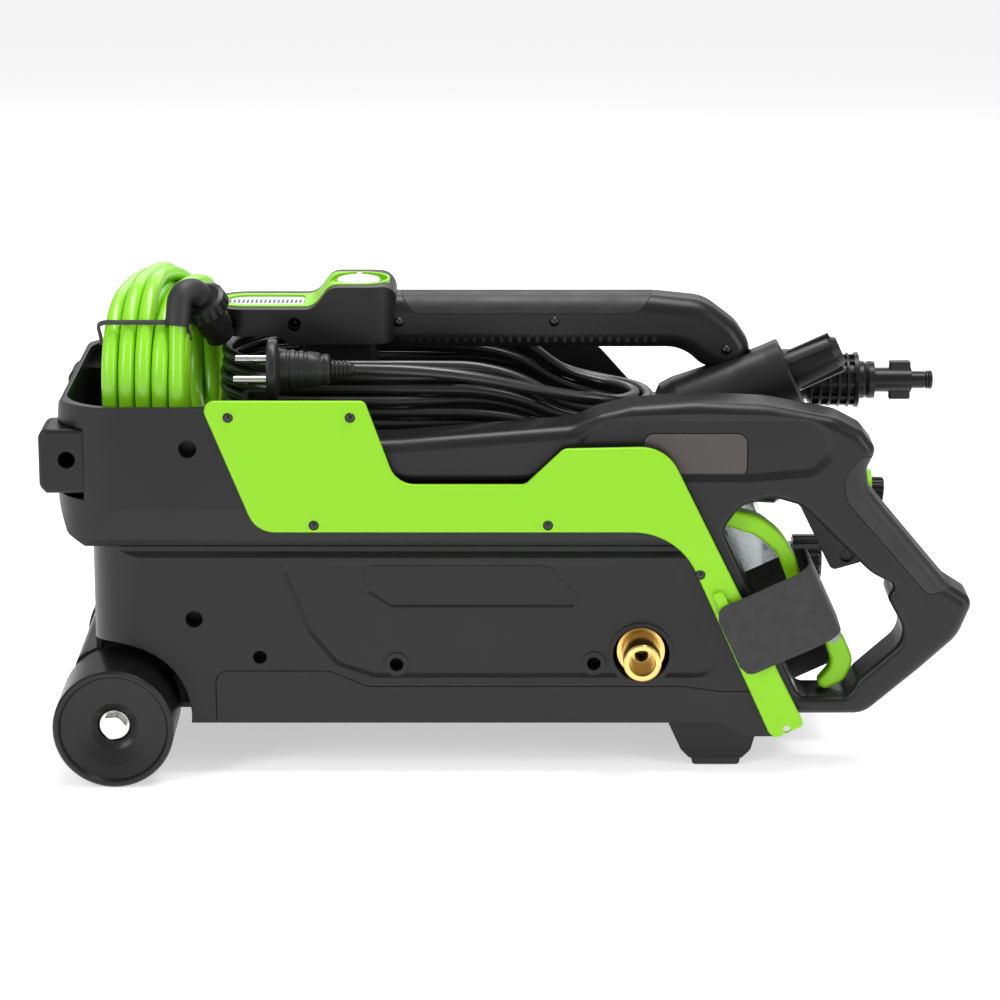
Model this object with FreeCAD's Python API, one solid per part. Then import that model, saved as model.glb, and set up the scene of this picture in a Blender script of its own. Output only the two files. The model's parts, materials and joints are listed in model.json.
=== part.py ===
import FreeCAD, Part
import math
import os

# Pressure washer that lies flat, on two wheels at its left end and a foot at its right end.
# Millimetres. +X runs along the length, away from the wheels; +Y goes to the far side; +Z is up.
# The origin is on the ground, under the middle of the machine's box.

# ---- driving dimensions ----
HALF_WIDTH = 97.0  # middle plane to the outside of the upper tray
HOUSING_HALF = 95.0  # middle plane to the outside of the lower housing
WALL = 3.0  # usual thickness of a moulded wall
SEAM_GAP = 0.4  # gap along the seams between mouldings
SLIVER_SHARE = 0.004  # a leftover smaller than this share of its node isn't kept
GROUND_GAP = 31.0  # ground to the underside of the base pan
HOUSING_LEFT = -241.0  # left end of the lower housing
HOUSING_TOP = 137.0  # parting plane between lower housing and tray
TRAY_FLOOR = 166.0
TRAY_TOP = 220.0
SLOPE = 0.47  # how far the right end leans out for each millimetre down

WHEEL_RADIUS = 35.0
WHEEL_OUTER_Y = 120.0
WHEEL_WIDTH = 51.0
AXLE_X = -226.5
AXLE_RADIUS = 6.0
AXLE_FIT = 0.05  # radial running clearance of a wheel on its axle
ARCH_RADIUS = 43.5

OUTLET = (78.5, 72.5)  # x and z of the high-pressure outlet's axis
OUTLET_RADIUS = 11.0  # half of the M22 thread
INLET_RADIUS = 13.2  # half of the G3/4 thread
PORT_Y = 112.0  # how far both ports stand out from the middle plane

GUN_MIDDLE_Y = -75.0
GUN_HALF = 18.0  # half of the spray gun's thickness
TRIGGER_PIVOT = (117.0, 151.0)
TRIGGER_HALF = 6.5
TRIGGER_LOCK = (190.6, 80.0)  # x and z of the lock's pivot on the trigger's side

HANDLE_HALF = 16.0
POD_HALF = 27.0

MOTOR_Z = 84.0
MOTOR_X = (-165.0, -55.0)
MOTOR_RADIUS = 43.0
SHAFT_RADIUS = 4.0
GEAR_MODULE = 1.25
PINION_TEETH = 12
GEAR_TEETH = 36

HOSE_DIAMETER = 9.5
CABLE_DIAMETER = 6.8

os.makedirs("parts", exist_ok=True)
parts = {}


# ---- shape helpers ----
def vec(x, y, z):
    return FreeCAD.Vector(x, y, z)


def rounded_wire(corners, place):
    """A closed wire through (a, b, radius) corners; place turns (a, b) into a point."""
    flat = [vec(corner[0], corner[1], 0) for corner in corners]
    edges = []
    stretches = []
    for i, corner in enumerate(corners):
        point = flat[i]
        back = (flat[i - 1] - point).normalize()
        ahead = (flat[(i + 1) % len(flat)] - point).normalize()
        radius = corner[2] if len(corner) > 2 else 0
        if radius <= 0:
            stretches.append((point, None, point))
            continue
        half = back.getAngle(ahead) / 2
        reach = radius / math.tan(half)
        bisector = (back + ahead).normalize()
        middle = point + bisector * (radius / math.sin(half) - radius)
        stretches.append((point + back * reach, middle, point + ahead * reach))
    for i, (start, middle, end) in enumerate(stretches):
        before = stretches[i - 1][2]
        if before.distanceToPoint(start) > 1e-6:
            edges.append(Part.LineSegment(place(before), place(start)).toShape())
        if middle is not None:
            edges.append(Part.Arc(place(start), place(middle), place(end)).toShape())
    return Part.Wire(edges)


def side_prism(corners, y_low, y_high):
    """(x, z, radius) corners, filled and pulled from y_low to y_high."""
    wire = rounded_wire(corners, lambda p: vec(p.x, y_low, p.y))
    return Part.Face(wire).extrude(vec(0, y_high - y_low, 0))


def plan_prism(corners, z_low, z_high):
    """(x, y, radius) corners, filled and pulled from z_low to z_high."""
    wire = rounded_wire(corners, lambda p: vec(p.x, p.y, z_low))
    return Part.Face(wire).extrude(vec(0, 0, z_high - z_low))


def front_prism(corners, x_low, x_high):
    """(y, z, radius) corners, filled and pulled from x_low to x_high."""
    wire = rounded_wire(corners, lambda p: vec(x_low, p.x, p.y))
    return Part.Face(wire).extrude(vec(x_high - x_low, 0, 0))


def box(x_low, x_high, y_low, y_high, z_low, z_high):
    return Part.makeBox(x_high - x_low, y_high - y_low, z_high - z_low, vec(x_low, y_low, z_low))


def rod(start, end, radius):
    direction = end - start
    return Part.makeCylinder(radius, direction.Length, start, direction)


def turned(profile, start, direction):
    """A (distance along, radius) profile turned about the line from start along direction."""
    points = [vec(profile[0][0], 0, 0)]
    points += [vec(along, 0, radius) for along, radius in profile]
    points += [vec(profile[-1][0], 0, 0), points[0]]
    cleaned = [p for i, p in enumerate(points) if i == 0 or p.distanceToPoint(points[i - 1]) > 1e-6]
    solid = Part.Face(Part.makePolygon(cleaned)).revolve(vec(0, 0, 0), vec(1, 0, 0), 360)
    turn = FreeCAD.Rotation(vec(1, 0, 0), direction)
    solid.Placement = FreeCAD.Placement(start, turn)
    return solid


def rounded_at(shape, axis, level, radius):
    """The shape with its edges in the plane axis = level rounded."""
    low = {"x": "XMin", "y": "YMin", "z": "ZMin"}[axis]
    high = {"x": "XMax", "y": "YMax", "z": "ZMax"}[axis]
    rim = [
        edge
        for edge in shape.Edges
        if abs(getattr(edge.BoundBox, low) - level) < 0.02
        and abs(getattr(edge.BoundBox, high) - level) < 0.02
    ]
    return shape.makeFillet(radius, rim)


def sunk_panel(corners, y_face, depth, bevel):
    """The solid that a bevelled recess removes from a wall facing -Y at y_face."""
    floor_wire = rounded_wire(corners, lambda p: vec(p.x, y_face + depth, p.y))
    rim_wire = Part.Face(floor_wire).makeOffset2D(bevel).OuterWire
    rim_wire.translate(vec(0, -depth - 0.01, 0))
    return Part.makeLoft([floor_wire, rim_wire], True, True)


def mirrored(shape):
    return shape.mirror(vec(0, 0, 0), vec(0, 1, 0))


def leaning(x_at_top, z):
    """x at height z on a line that leans like the right end and passes x_at_top at the parting."""
    return x_at_top + (HOUSING_TOP - z) * SLOPE


def add(name, shape):
    """Keeps a node, without slivers that a cut may have left beside it."""
    largest = max(solid.Volume for solid in shape.Solids)
    solids = [solid for solid in shape.Solids if solid.Volume > largest * SLIVER_SHARE]
    parts[name] = solids[0] if len(solids) == 1 else Part.makeCompound(solids)


# ---- shared outlines ----
END_TOP = 118.0  # x of the right end at the parting plane
RECESS_TOP = 103.0  # x there of the near side's recess for the spray gun's guard
RECESS_Y = -54.0
SKIRT_LOW = 22.6  # lowest edge of the pan behind the foot
PAN_CORNERS = [
    (-168.5, GROUND_GAP, 2),
    (-168.5, 62.5, 7),
    (-103, 62.5, 14),
    (-80, 53, 14),
    (103, 53, 10),
    (124, 50, 10),
    (leaning(END_TOP, 50), 50, 1),
    (leaning(END_TOP, SKIRT_LOW), SKIRT_LOW, 4),
    (138, SKIRT_LOW, 4),
    (126, GROUND_GAP, 4),
]
WELLS = [(-180.5, 94.0, 5.0), (-142.8, 71.0, 4.0), (-63.6, 66.5, 4.0), (51.0, 67.0, 4.0)]
WELL_DEPTH = 14.0
RELIEF = 1.2  # depth of the sunk field on the near half
BADGE_DEPTH = 1.0  # depth of the blank badge field inside it


def gun_recess(z_low, z_high):
    """Space on the near side, at the right end, that the spray gun's guard hangs in."""
    corners = [
        (leaning(RECESS_TOP, z_low), z_low),
        (leaning(RECESS_TOP, z_high), z_high),
        (260, z_high),
        (260, z_low),
    ]
    return side_prism(corners, -HALF_WIDTH - 5, RECESS_Y)


# ---- lower housing ----
def housing_block(inset):
    """The lower housing's outer shape, or with an inset the space inside its walls."""
    side = [
        (HOUSING_LEFT + inset, HOUSING_TOP - inset, 0),
        (HOUSING_LEFT + inset, 56 + inset, 30 - inset),
        (-224, 43 + inset, 6),
        (-212 + inset, GROUND_GAP + inset, 4),
        (leaning(END_TOP, GROUND_GAP) - inset, GROUND_GAP + inset, 1),
        (END_TOP - inset, HOUSING_TOP - inset, 0),
    ]
    half = HOUSING_HALF - inset
    plan = [(HOUSING_LEFT + inset, -half, 32), (HOUSING_LEFT + inset, half, 32), (200, half, 0), (200, -half, 0)]
    neck = half - 3
    front = [
        (-half, 25, 0),
        (-half, HOUSING_TOP - 6, 0),
        (-neck, HOUSING_TOP - 3, 0),
        (-neck, HOUSING_TOP + 1, 0),
        (neck, HOUSING_TOP + 1, 0),
        (neck, HOUSING_TOP - 3, 0),
        (half, HOUSING_TOP - 6, 0),
        (half, 25, 0),
    ]
    block = side_prism(side, -half, half)
    block = block.common(plan_prism(plan, 20, 150))
    return block.common(front_prism(front, -260, 200))


def wheel_arch(sign, radius):
    start = vec(AXLE_X, sign * 66.0, WHEEL_RADIUS)
    return rod(start, vec(AXLE_X, sign * 130.0, WHEEL_RADIUS), radius)


def lower_housing():
    shell = housing_block(0)
    inside = housing_block(WALL)
    for sign in (-1, 1):
        shell = shell.cut(wheel_arch(sign, ARCH_RADIUS))
        inside = inside.cut(wheel_arch(sign, ARCH_RADIUS + WALL))
    shell = shell.cut(gun_recess(20, 150))
    inner_recess = gun_recess(20, 150)
    inner_recess.translate(vec(-WALL, WALL, 0))
    inside = inside.cut(inner_recess)
    shell = shell.cut(inside)
    pan = side_prism(PAN_CORNERS, -130, 130)
    pan_gap = Part.Face(
        rounded_wire(PAN_CORNERS, lambda p: vec(p.x, -130, p.y))
    ).makeOffset2D(SEAM_GAP)
    shell = shell.cut(pan_gap.extrude(vec(0, 260, 0))).cut(pan)
    face_recess = [
        (-128, 126, 3),
        (-112, 86, 12),
        (-97, 68, 10),
        (-76, 61, 8),
        (leaning(RECESS_TOP, 61) - 12, 61, 10),
        (leaning(RECESS_TOP, 126) - 12, 126, 3),
    ]
    recess = sunk_panel(face_recess, -HOUSING_HALF, RELIEF, 2.5)
    badge = sunk_panel(
        [(-83, 125, 3), (24, 125, 6), (43, 106, 3), (39, 102, 3), (-66, 102, 3), (-80, 111, 3)],
        -HOUSING_HALF + RELIEF,
        BADGE_DEPTH,
        1.2,
    )
    boss = rod(
        vec(OUTLET[0], -HOUSING_HALF, OUTLET[1]), vec(OUTLET[0], -HOUSING_HALF + 8, OUTLET[1]), 19
    )
    hole = rod(vec(OUTLET[0], -130, OUTLET[1]), vec(OUTLET[0], 130, OUTLET[1]), INLET_RADIUS + 3.2)
    shell = shell.cut(recess).fuse(boss)
    shell = shell.fuse(mirrored(boss)).cut(badge).cut(hole)
    for x, z, radius in WELLS:
        for sign in (-1, 1):
            outer = rod(
                vec(x, sign * HOUSING_HALF, z),
                vec(x, sign * (HOUSING_HALF - WELL_DEPTH - WALL), z),
                radius + WALL,
            )
            inner = rod(
                vec(x, sign * (HOUSING_HALF + 5), z),
                vec(x, sign * (HOUSING_HALF - WELL_DEPTH), z),
                radius,
            )
            shell = shell.fuse(outer.common(housing_block(0.2))).cut(inner)
    axle_hole = rod(
        vec(AXLE_X, -90, WHEEL_RADIUS), vec(AXLE_X, 90, WHEEL_RADIUS), AXLE_RADIUS + 0.05
    )
    return shell.cut(axle_hole)


def add_lower_housing():
    shell = lower_housing()
    near_half = shell.common(box(-300, 300, -150, -SEAM_GAP / 4, 0, 300))
    far_half = shell.common(box(-300, 300, SEAM_GAP / 4, 150, 0, 300))
    add("housing_near", near_half)
    add("housing_far", far_half)


def add_base_pan():
    inset_face = Part.Face(rounded_wire(PAN_CORNERS, lambda p: vec(p.x, -130, p.y)))
    outer = inset_face.extrude(vec(0, 260, 0)).common(
        box(-300, 300, -HOUSING_HALF, HOUSING_HALF, 0, 300)
    )
    floor = GROUND_GAP + WALL
    inner_right = END_TOP - WALL
    inside = side_prism(
        [
            (-168.5 + WALL, floor, 2),
            (-168.5 + WALL, 90, 0),
            (leaning(inner_right, 90), 90, 0),
            (leaning(inner_right, floor), floor, 2),
        ],
        -HOUSING_HALF + WALL,
        HOUSING_HALF - WALL,
    )
    recess = gun_recess(20, 150)
    inner_recess = gun_recess(20, 150)
    inner_recess.translate(vec(-WALL, WALL, 0))
    pan = outer.cut(recess).cut(inside.cut(inner_recess))
    hole = rod(
        vec(OUTLET[0], -130, OUTLET[1]), vec(OUTLET[0], 130, OUTLET[1]), INLET_RADIUS + 3.2
    )
    add("base_pan", pan.cut(hole))


def add_foot():
    side = [(93, 31, 0), (103, 9, 5), (108, 4, 0), (139, 4, 0), (144, 9, 5), (150, 31, 0)]
    foot = side_prism(side, -79, 79)
    hollow = side_prism([(99, 31, 0), (108, 9, 2), (138, 9, 2), (146, 31, 0)], -76, 76)
    foot = foot.cut(hollow.cut(box(90, 160, -3, 3, 0, 40)))
    add("front_foot", foot.cut(side_prism(PAN_CORNERS, -130, 130)))
    pads = []
    for sign in (-1, 1):
        y_low, y_high = sorted((sign * 79, sign * 35))
        pads.append(side_prism([(110, 0, 2), (109, 4, 0), (138, 4, 0), (137, 0, 2)], y_low, y_high))
    add("foot_pads", Part.makeCompound(pads))


# ---- tray ----
TRAY_END_TOP = 184.0  # top of the wall at the right end
TRAY_SIDE = [
    (-257.5, TRAY_TOP, 3),
    (-260.5, 190, 20),
    (-260.5, 160, 6),
    (-254, 142, 5),
    (-243, HOUSING_TOP, 0),
    (118, HOUSING_TOP, 0),
    (leaning(118, TRAY_END_TOP), TRAY_END_TOP, 3),
    (84, TRAY_END_TOP, 12),
    (52, TRAY_TOP, 30),
]
TROUGH_LEFT = -149.0
TROUGH_FLOOR = 170.0
TROUGH_WALL_TOP = 190.0


def tray_block(inset):
    side_face = Part.Face(rounded_wire(TRAY_SIDE, lambda p: vec(p.x, -130, p.y)))
    if inset:
        side_face = side_face.makeOffset2D(-inset)
    block = side_face.extrude(vec(0, 260, 0))
    half = HALF_WIDTH - inset
    left = -260.6 + inset
    plan = [(left, -half, 38 - inset), (left, half, 38 - inset), (200, half, 0), (200, -half, 0)]
    front = [
        (-half, 240, 0),
        (-half, 160, 6),
        (-half + 3, 142, 4),
        (-half + 6, HOUSING_TOP - 1, 0),
        (half - 6, HOUSING_TOP - 1, 0),
        (half - 3, 142, 4),
        (half, 160, 6),
        (half, 240, 0),
    ]
    block = block.common(plan_prism(plan, 100, 250))
    return block.common(front_prism(front, -280, 220))


def add_tray():
    outer = tray_block(0)
    hollow = tray_block(WALL + 0.5)
    upper = hollow.common(box(-300, 300, -150, 150, TRAY_FLOOR, TRAY_TOP - 4))
    upper = upper.fuse(
        plan_prism(
            [(-254, -93.5, 34), (-254, 93.5, 34), (75, 93.5, 4), (75, -93.5, 4)],
            TRAY_TOP - 10,
            TRAY_TOP + 5,
        )
    )
    upper = upper.fuse(box(40, 130, -150, 93.5, TRAY_END_TOP - 0.1, TRAY_TOP + 5))
    lower = hollow.common(box(-300, 300, -150, 150, HOUSING_TOP - 5, TRAY_FLOOR - WALL))
    lower = lower.fuse(
        box(-240, 105, -88, 88, HOUSING_TOP - 5, HOUSING_TOP + 8).cut(gun_recess(100, 230))
    )
    lower = lower.cut(box(RECESS_TOP - 60, 200, -150, RECESS_Y + WALL, 100, 230))
    gun_side = box(TROUGH_LEFT - WALL, 300, -150, RECESS_Y + WALL, 100, 300)
    upper = upper.cut(gun_side)
    tray = outer.cut(upper).cut(lower)
    trough = box(TROUGH_LEFT, 300, -150, RECESS_Y, TROUGH_FLOOR, 300)
    above_wall = box(TROUGH_LEFT + 12, 74, -150, RECESS_Y + WALL + 0.1, TROUGH_WALL_TOP, 300)
    tray = tray.cut(trough).cut(above_wall).cut(gun_recess(100, 230))
    for sign in (-1, 1):
        well = rod(vec(-182, sign * 110, 196), vec(-182, sign * (HALF_WIDTH - 12), 196), 5.2)
        cup = rod(
            vec(-182, sign * (HALF_WIDTH - 1), 196), vec(-182, sign * (HALF_WIDTH - 14), 196), 7.5
        )
        tray = tray.fuse(cup).cut(well)
        notch = box(-300, -239, *sorted((sign * 58.6, sign * 91.4)), 164.5, 206.5)
        tray = tray.cut(notch)
        pocket = box(-262, -236, *sorted((sign * 56, sign * 93.5)), 162, 209)
        frame = pocket.common(outer).cut(notch)
        tray = tray.fuse(frame)
    add("tray_shell", tray)


BUMPER_END = -268.2  # left end of the machine


def add_bumpers():
    blocks = []
    for sign in (-1, 1):
        y_low, y_high = sorted((sign * 59, sign * 91))
        block = side_prism(
            [(-239.5, 206, 0), (-239.5, 168, 0), (BUMPER_END + 4, 168, 0), (BUMPER_END, 172, 6), (BUMPER_END, 206, 6)],
            y_low,
            y_high,
        )
        edges = [
            edge
            for edge in block.Edges
            if abs(edge.BoundBox.YMax - edge.BoundBox.YMin) < 0.01 and edge.BoundBox.XMin < -240
        ]
        block = block.makeFillet(2.5, edges)
        hole = rod(vec(-252, y_low - 1, 188), vec(-252, y_high + 1, 188), 5.0)
        blocks.append(block.cut(hole))
    add("end_bumpers", Part.makeCompound(blocks))


# ---- green side covers ----
COVER_THICK = 2.6
COVER_TOP = 224.5
COVER_CORNERS = [
    (-174.9, COVER_TOP, 6),
    (-143.6, 147, 16),
    (98.5, 147, 40),
    (153, 26, 3),
    (157, 22.5, 2.5),
    (174, 30.5, 3),
    (91.4, 197.8, 24),
    (33, 196.5, 6),
    (11, 175.5, 6),
    (-62.8, 175.5, 15),
    (-80.6, COVER_TOP, 4),
]
FAR_COVER_CORNERS = [
    (-174.9, COVER_TOP, 6),
    (-143.6, 147, 16),
    (72, 147, 20),
    (52, COVER_TOP, 5),
]
COVER_SCREWS = [(-158.4, 215), (-88.9, 215), (-110.3, 151.5), (24, 151.5), (111.7, 122)]


def cover_flange(x_low, x_high):
    """The cover's top edge, turned in over the tray's rim."""
    return box(x_low, x_high, -HALF_WIDTH - 1.0, -HALF_WIDTH + 1.6, COVER_TOP - 4.0, COVER_TOP - 2.4)


def cover_return():
    """The tapering inward return behind the near cover's first sloping edge."""
    slope = side_prism([(-78.0, 220, 0), (-75.6, 220, 0), (-59.6, 177, 0), (-62.6, 177, 0)], -110, -60)
    taper = plan_prism([(-80, -98.8, 0), (-58, -98.8, 0), (-58, -72, 0)], 150, 250)
    return slope.common(taper)


def cover(corners, x_low, x_high):
    plate = side_prism(corners, -HALF_WIDTH - COVER_THICK, -HALF_WIDTH - 0.1)
    plate = rounded_at(plate, "y", -HALF_WIDTH - COVER_THICK, 1.8)
    return plate.fuse(cover_flange(x_low, x_high)).removeSplitter()


def band_bar():
    """The raised bar on the strap that the retaining band is threaded behind."""
    foot = [
        (leaning(106.6, 112), 112, 2),
        (leaning(113.2, 112), 112, 2),
        (leaning(113.2, 61.5), 61.5, 2),
        (leaning(106.6, 61.5), 61.5, 2),
    ]
    bar = side_prism(foot, -HALF_WIDTH - COVER_THICK - 2.6, -HALF_WIDTH - COVER_THICK + 0.5)
    gap = side_prism(
        [
            (leaning(102, 103.5), 103.5, 0),
            (leaning(118, 109), 109, 0),
            (leaning(118, 70), 70, 0),
            (leaning(102, 64.5), 64.5, 0),
        ],
        -HALF_WIDTH - COVER_THICK - 1.2,
        -HALF_WIDTH - COVER_THICK,
    )
    return bar, gap


def add_covers():
    near = cover(COVER_CORNERS, -170, -84)
    lower_hole = rod(vec(163.5, -110, 28.5), vec(163.5, -90, 28.5), 2.2)
    bar, gap = band_bar()
    near = near.cut(lower_hole).fuse(bar).cut(gap)
    add("green_cover_near", near)
    far = mirrored(cover(FAR_COVER_CORNERS, -170, 48))
    add("green_cover_far", far)
    screws = []
    for x, z in COVER_SCREWS:
        screws.append(dome_screw(x, z, -HALF_WIDTH - COVER_THICK))
    for x, z in COVER_SCREWS[:4]:
        screws.append(mirrored(dome_screw(x, z, -HALF_WIDTH - COVER_THICK)))
    for x, z in HANDLE_SCREWS:
        screws.append(dome_screw(x, z, -HANDLE_HALF))
        screws.append(mirrored(dome_screw(x, z, -HANDLE_HALF)))
    for x, z in POD_SCREWS:
        screws.append(dome_screw(x, z, -POD_SCREW_Y))
        screws.append(mirrored(dome_screw(x, z, -POD_SCREW_Y)))
    add("dome_screws", Part.makeCompound(screws))


def dome_screw(x, z, y_face):
    """A small black dome head that sits on a face looking to -Y."""
    head = Part.makeSphere(3.3, vec(x, y_face + 1.5, z))
    return head.common(box(x - 5, x + 5, y_face - 5, y_face, z - 5, z + 5))


# ---- wheels ----
def wheel(sign):
    """A plain roller wheel with a thin raised rim round a dished outer face."""
    inner = WHEEL_OUTER_Y - WHEEL_WIDTH
    dish = [
        (inner, AXLE_RADIUS + AXLE_FIT),
        (inner, WHEEL_RADIUS - 1.5),
        (inner + 1.5, WHEEL_RADIUS),
        (WHEEL_OUTER_Y - 1.2, WHEEL_RADIUS),
        (WHEEL_OUTER_Y, WHEEL_RADIUS - 1.2),
        (WHEEL_OUTER_Y, WHEEL_RADIUS - 3.2),
        (WHEEL_OUTER_Y - 2.2, WHEEL_RADIUS - 4.6),
        (WHEEL_OUTER_Y - 3.6, WHEEL_RADIUS - 12),
        (WHEEL_OUTER_Y - 6.0, WHEEL_RADIUS - 21),
        (WHEEL_OUTER_Y - 8.6, 9.6),
        (WHEEL_OUTER_Y - 11.5, 9.2),
        (WHEEL_OUTER_Y - 11.5, AXLE_RADIUS + AXLE_FIT),
    ]
    points = [vec(AXLE_X + radius, sign * y, WHEEL_RADIUS) for y, radius in dish]
    face = Part.Face(Part.makePolygon(points + [points[0]]))
    return face.revolve(vec(AXLE_X, 0, WHEEL_RADIUS), vec(0, 1, 0), 360)


def hexagon_head(y_low, y_high, across_flats):
    radius = across_flats / math.sqrt(3)
    points = []
    for i in range(7):
        angle = math.radians(60 * i + 10)
        x = AXLE_X + radius * math.cos(angle)
        points.append(vec(x, y_low, WHEEL_RADIUS + radius * math.sin(angle)))
    return Part.Face(Part.makePolygon(points)).extrude(vec(0, y_high - y_low, 0))


def add_wheels():
    for name, sign in (("wheel_near", -1), ("wheel_far", 1)):
        solid = wheel(sign)
        if solid.Volume < 0:
            solid.reverse()
        add(name, solid)
    axle_end = WHEEL_OUTER_Y - 11.0
    axle = rod(
        vec(AXLE_X, -axle_end, WHEEL_RADIUS), vec(AXLE_X, axle_end, WHEEL_RADIUS), AXLE_RADIUS
    )
    add("wheel_axle", axle)
    bolts = []
    for sign in (-1, 1):
        near = vec(AXLE_X, sign * (axle_end + 0.0), WHEEL_RADIUS)
        flange = rod(near, near + vec(0, sign * 1.6, 0), 8.6)
        low, high = sorted((sign * (axle_end + 1.6), sign * (axle_end + 8.0)))
        head = hexagon_head(low, high, 13.0)
        limit = turned(
            [(0, 9), (4.9, 9), (6.4, 6.6)],
            vec(AXLE_X, sign * (axle_end + 1.6), WHEEL_RADIUS),
            vec(0, sign, 0),
        )
        bolts.append(head.common(limit).fuse(flange))
    add("axle_bolts", Part.makeCompound(bolts))


def add_axle_bracket():
    """The cross member between the wheels that holds the axle."""
    side = [(-262, 30, 6), (-252, 62, 8), (-236, 70, 8), (-214, 52, 6), (-206, 24, 6)]
    block = side_prism(side, -64, 64)
    block = block.cut(housing_block(-0.3))
    bore = rod(vec(AXLE_X, -90, WHEEL_RADIUS), vec(AXLE_X, 90, WHEEL_RADIUS), AXLE_RADIUS)
    block = block.cut(bore)
    add("axle_bracket", max(block.Solids, key=lambda s: s.Volume))


# ---- water ports ----
def port(radius, y_inner, sign):
    """A threaded brass port with an octagonal rim and a bore, along Y."""
    start = vec(OUTLET[0], sign * y_inner, OUTLET[1])
    outer = [
        (0, radius + 3),
        (12, radius + 3),
        (12, radius - 0.8),
        (18, radius - 0.8),
        (18, radius),
        (PORT_Y - y_inner - 0.8, radius),
        (PORT_Y - y_inner, radius - 0.8),
    ]
    body = turned(outer, start, vec(0, sign, 0))
    mouth = vec(OUTLET[0], sign * (PORT_Y + 1), OUTLET[1])
    bore = rod(mouth, vec(OUTLET[0], sign * (PORT_Y - 16), OUTLET[1]), radius - 3.2)
    duct = rod(mouth, vec(OUTLET[0], sign * (y_inner - 1), OUTLET[1]), radius - 7)
    return body.cut(bore).cut(duct)


def add_ports():
    add("pressure_outlet", port(OUTLET_RADIUS, 76, -1))
    add("water_inlet", port(INLET_RADIUS, 76, 1))


# ---- handle ----
POD_CORNERS = [
    (-174, 246.2, 7),
    (-174, 262.4, 7),
    (-113, 262.4, 10),
    (-103, 275.6, 10),
    (-64.5, 275.6, 9),
    (-64.5, 242, 4),
    (-70, 241.4, 2),
    (-127, 241.4, 5),
    (-133, 246.2, 5),
]
POD_SCREW_Y = 18.2  # floor of the wells for the pod's screws
GRIP_CORNERS = [
    (-78, 236, 1),
    (-78, 267.5, 1),
    (88, 267.5, 40),
    (117, 264.5, 26),
    (136, 250, 26),
    (147.5, 233, 13),
    (134, 218, 13),
    (115, 226, 12),
    (104, 236, 24),
]
POD_SCREWS = [(-161.8, 253.4), (-123.9, 253.2)]
HANDLE_SCREWS = [(-63.0, 252.6), (28.4, 253.0), (130.0, 235.8)]


def handle_solid():
    pod = side_prism(POD_CORNERS, -POD_HALF, POD_HALF)
    plan = [(-174, -POD_HALF, 22), (-174, POD_HALF, 22), (-64.5, POD_HALF, 16), (-64.5, -POD_HALF, 16)]
    pod = pod.common(plan_prism(plan, 230, 290))
    grip = side_prism(GRIP_CORNERS, -HANDLE_HALF, HANDLE_HALF)
    grip = rounded_at(grip, "y", -HANDLE_HALF, 10)
    grip = rounded_at(grip, "y", HANDLE_HALF, 10)
    return pod.fuse(grip)


def seated_screw(x, z, y):
    """A dome screw on the near face at -y or on the far face at +y."""
    screw = dome_screw(x, z, -abs(y))
    return screw if y < 0 else mirrored(screw)


def pod_frame_block(gap):
    """The green frame's outer shape, grown by a gap for the seat it sits in."""
    side = side_prism(
        [
            (-180, 259.8 - gap, 0),
            (-180, 262.9 + gap, 0),
            (-113.2, 262.9 + gap, 10),
            (-103.2, 276.1 + gap, 9),
            (-60, 276.1 + gap, 0),
            (-60, 270.2 - gap, 0),
            (-103.5 + gap, 270.2 - gap, 0),
            (-110.5 + gap, 259.8 - gap, 0),
        ],
        -40,
        40,
    )
    left = -169.8 - gap
    right = -68.7 + gap
    half = 18.8 + gap
    plan = plan_prism(
        [(left, -half, 16), (left, half, 16), (right, half, 16), (right, -half, 16)], 250, 290
    )
    return side.common(plan)


def add_handle():
    solid = handle_solid()
    hollow = side_prism(
        [(-170, 249, 2), (-170, 257, 2), (-110, 257, 3), (-104, 268, 3), (-68, 268, 3), (-68, 244.5, 2),
         (-125, 244.5, 2), (-131, 249, 2)],
        -POD_HALF + 3,
        POD_HALF - 3,
    )
    hollow = hollow.common(
        plan_prism([(-171, -24, 19), (-171, 24, 19), (-67.5, 24, 13), (-67.5, -24, 13)], 230, 290)
    )
    hollow = hollow.fuse(
        side_prism(
            [(-70, 241, 2), (-70, 262, 2), (88, 262, 36), (113, 259, 20), (124, 249, 4), (108, 241, 8)],
            -HANDLE_HALF + 4,
            HANDLE_HALF - 4,
        )
    )
    dial_well = rod(vec(-87, 0, 256), vec(-87, 0, 290), 15.5)
    body = solid.cut(hollow).cut(pod_frame_block(0.2)).cut(dial_well)
    for x, z in POD_SCREWS:
        for sign in (-1, 1):
            start = vec(x, sign * (POD_HALF + 4), z)
            cup = rod(start, vec(x, sign * (POD_SCREW_Y - 2), z), 5.8)
            body = body.fuse(cup.common(solid))
            body = body.cut(rod(start, vec(x, sign * POD_SCREW_Y, z), 4.2))
            body = body.cut(seated_screw(x, z, sign * POD_SCREW_Y))
    for x, z in HANDLE_SCREWS:
        for sign in (-1, 1):
            body = body.cut(seated_screw(x, z, sign * HANDLE_HALF))
    pitch = 5.3
    for i in range(29):
        x = -62.0 + i * pitch
        for sign in (-1, 1):
            groove = box(x, x + 2.2, *sorted((sign * 14.2, sign * 17)), 236.5, 244.5)
            body = body.cut(groove)
    inlay_cut = grip_inlay(0.0)
    body = body.cut(inlay_cut)
    add("handle_near", body.common(box(-300, 300, -60, -0.05, 200, 300)))
    add("handle_far", body.common(box(-300, 300, 0.05, 60, 200, 300)))
    add("handle_inlay", grip_inlay(0.15))


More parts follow.
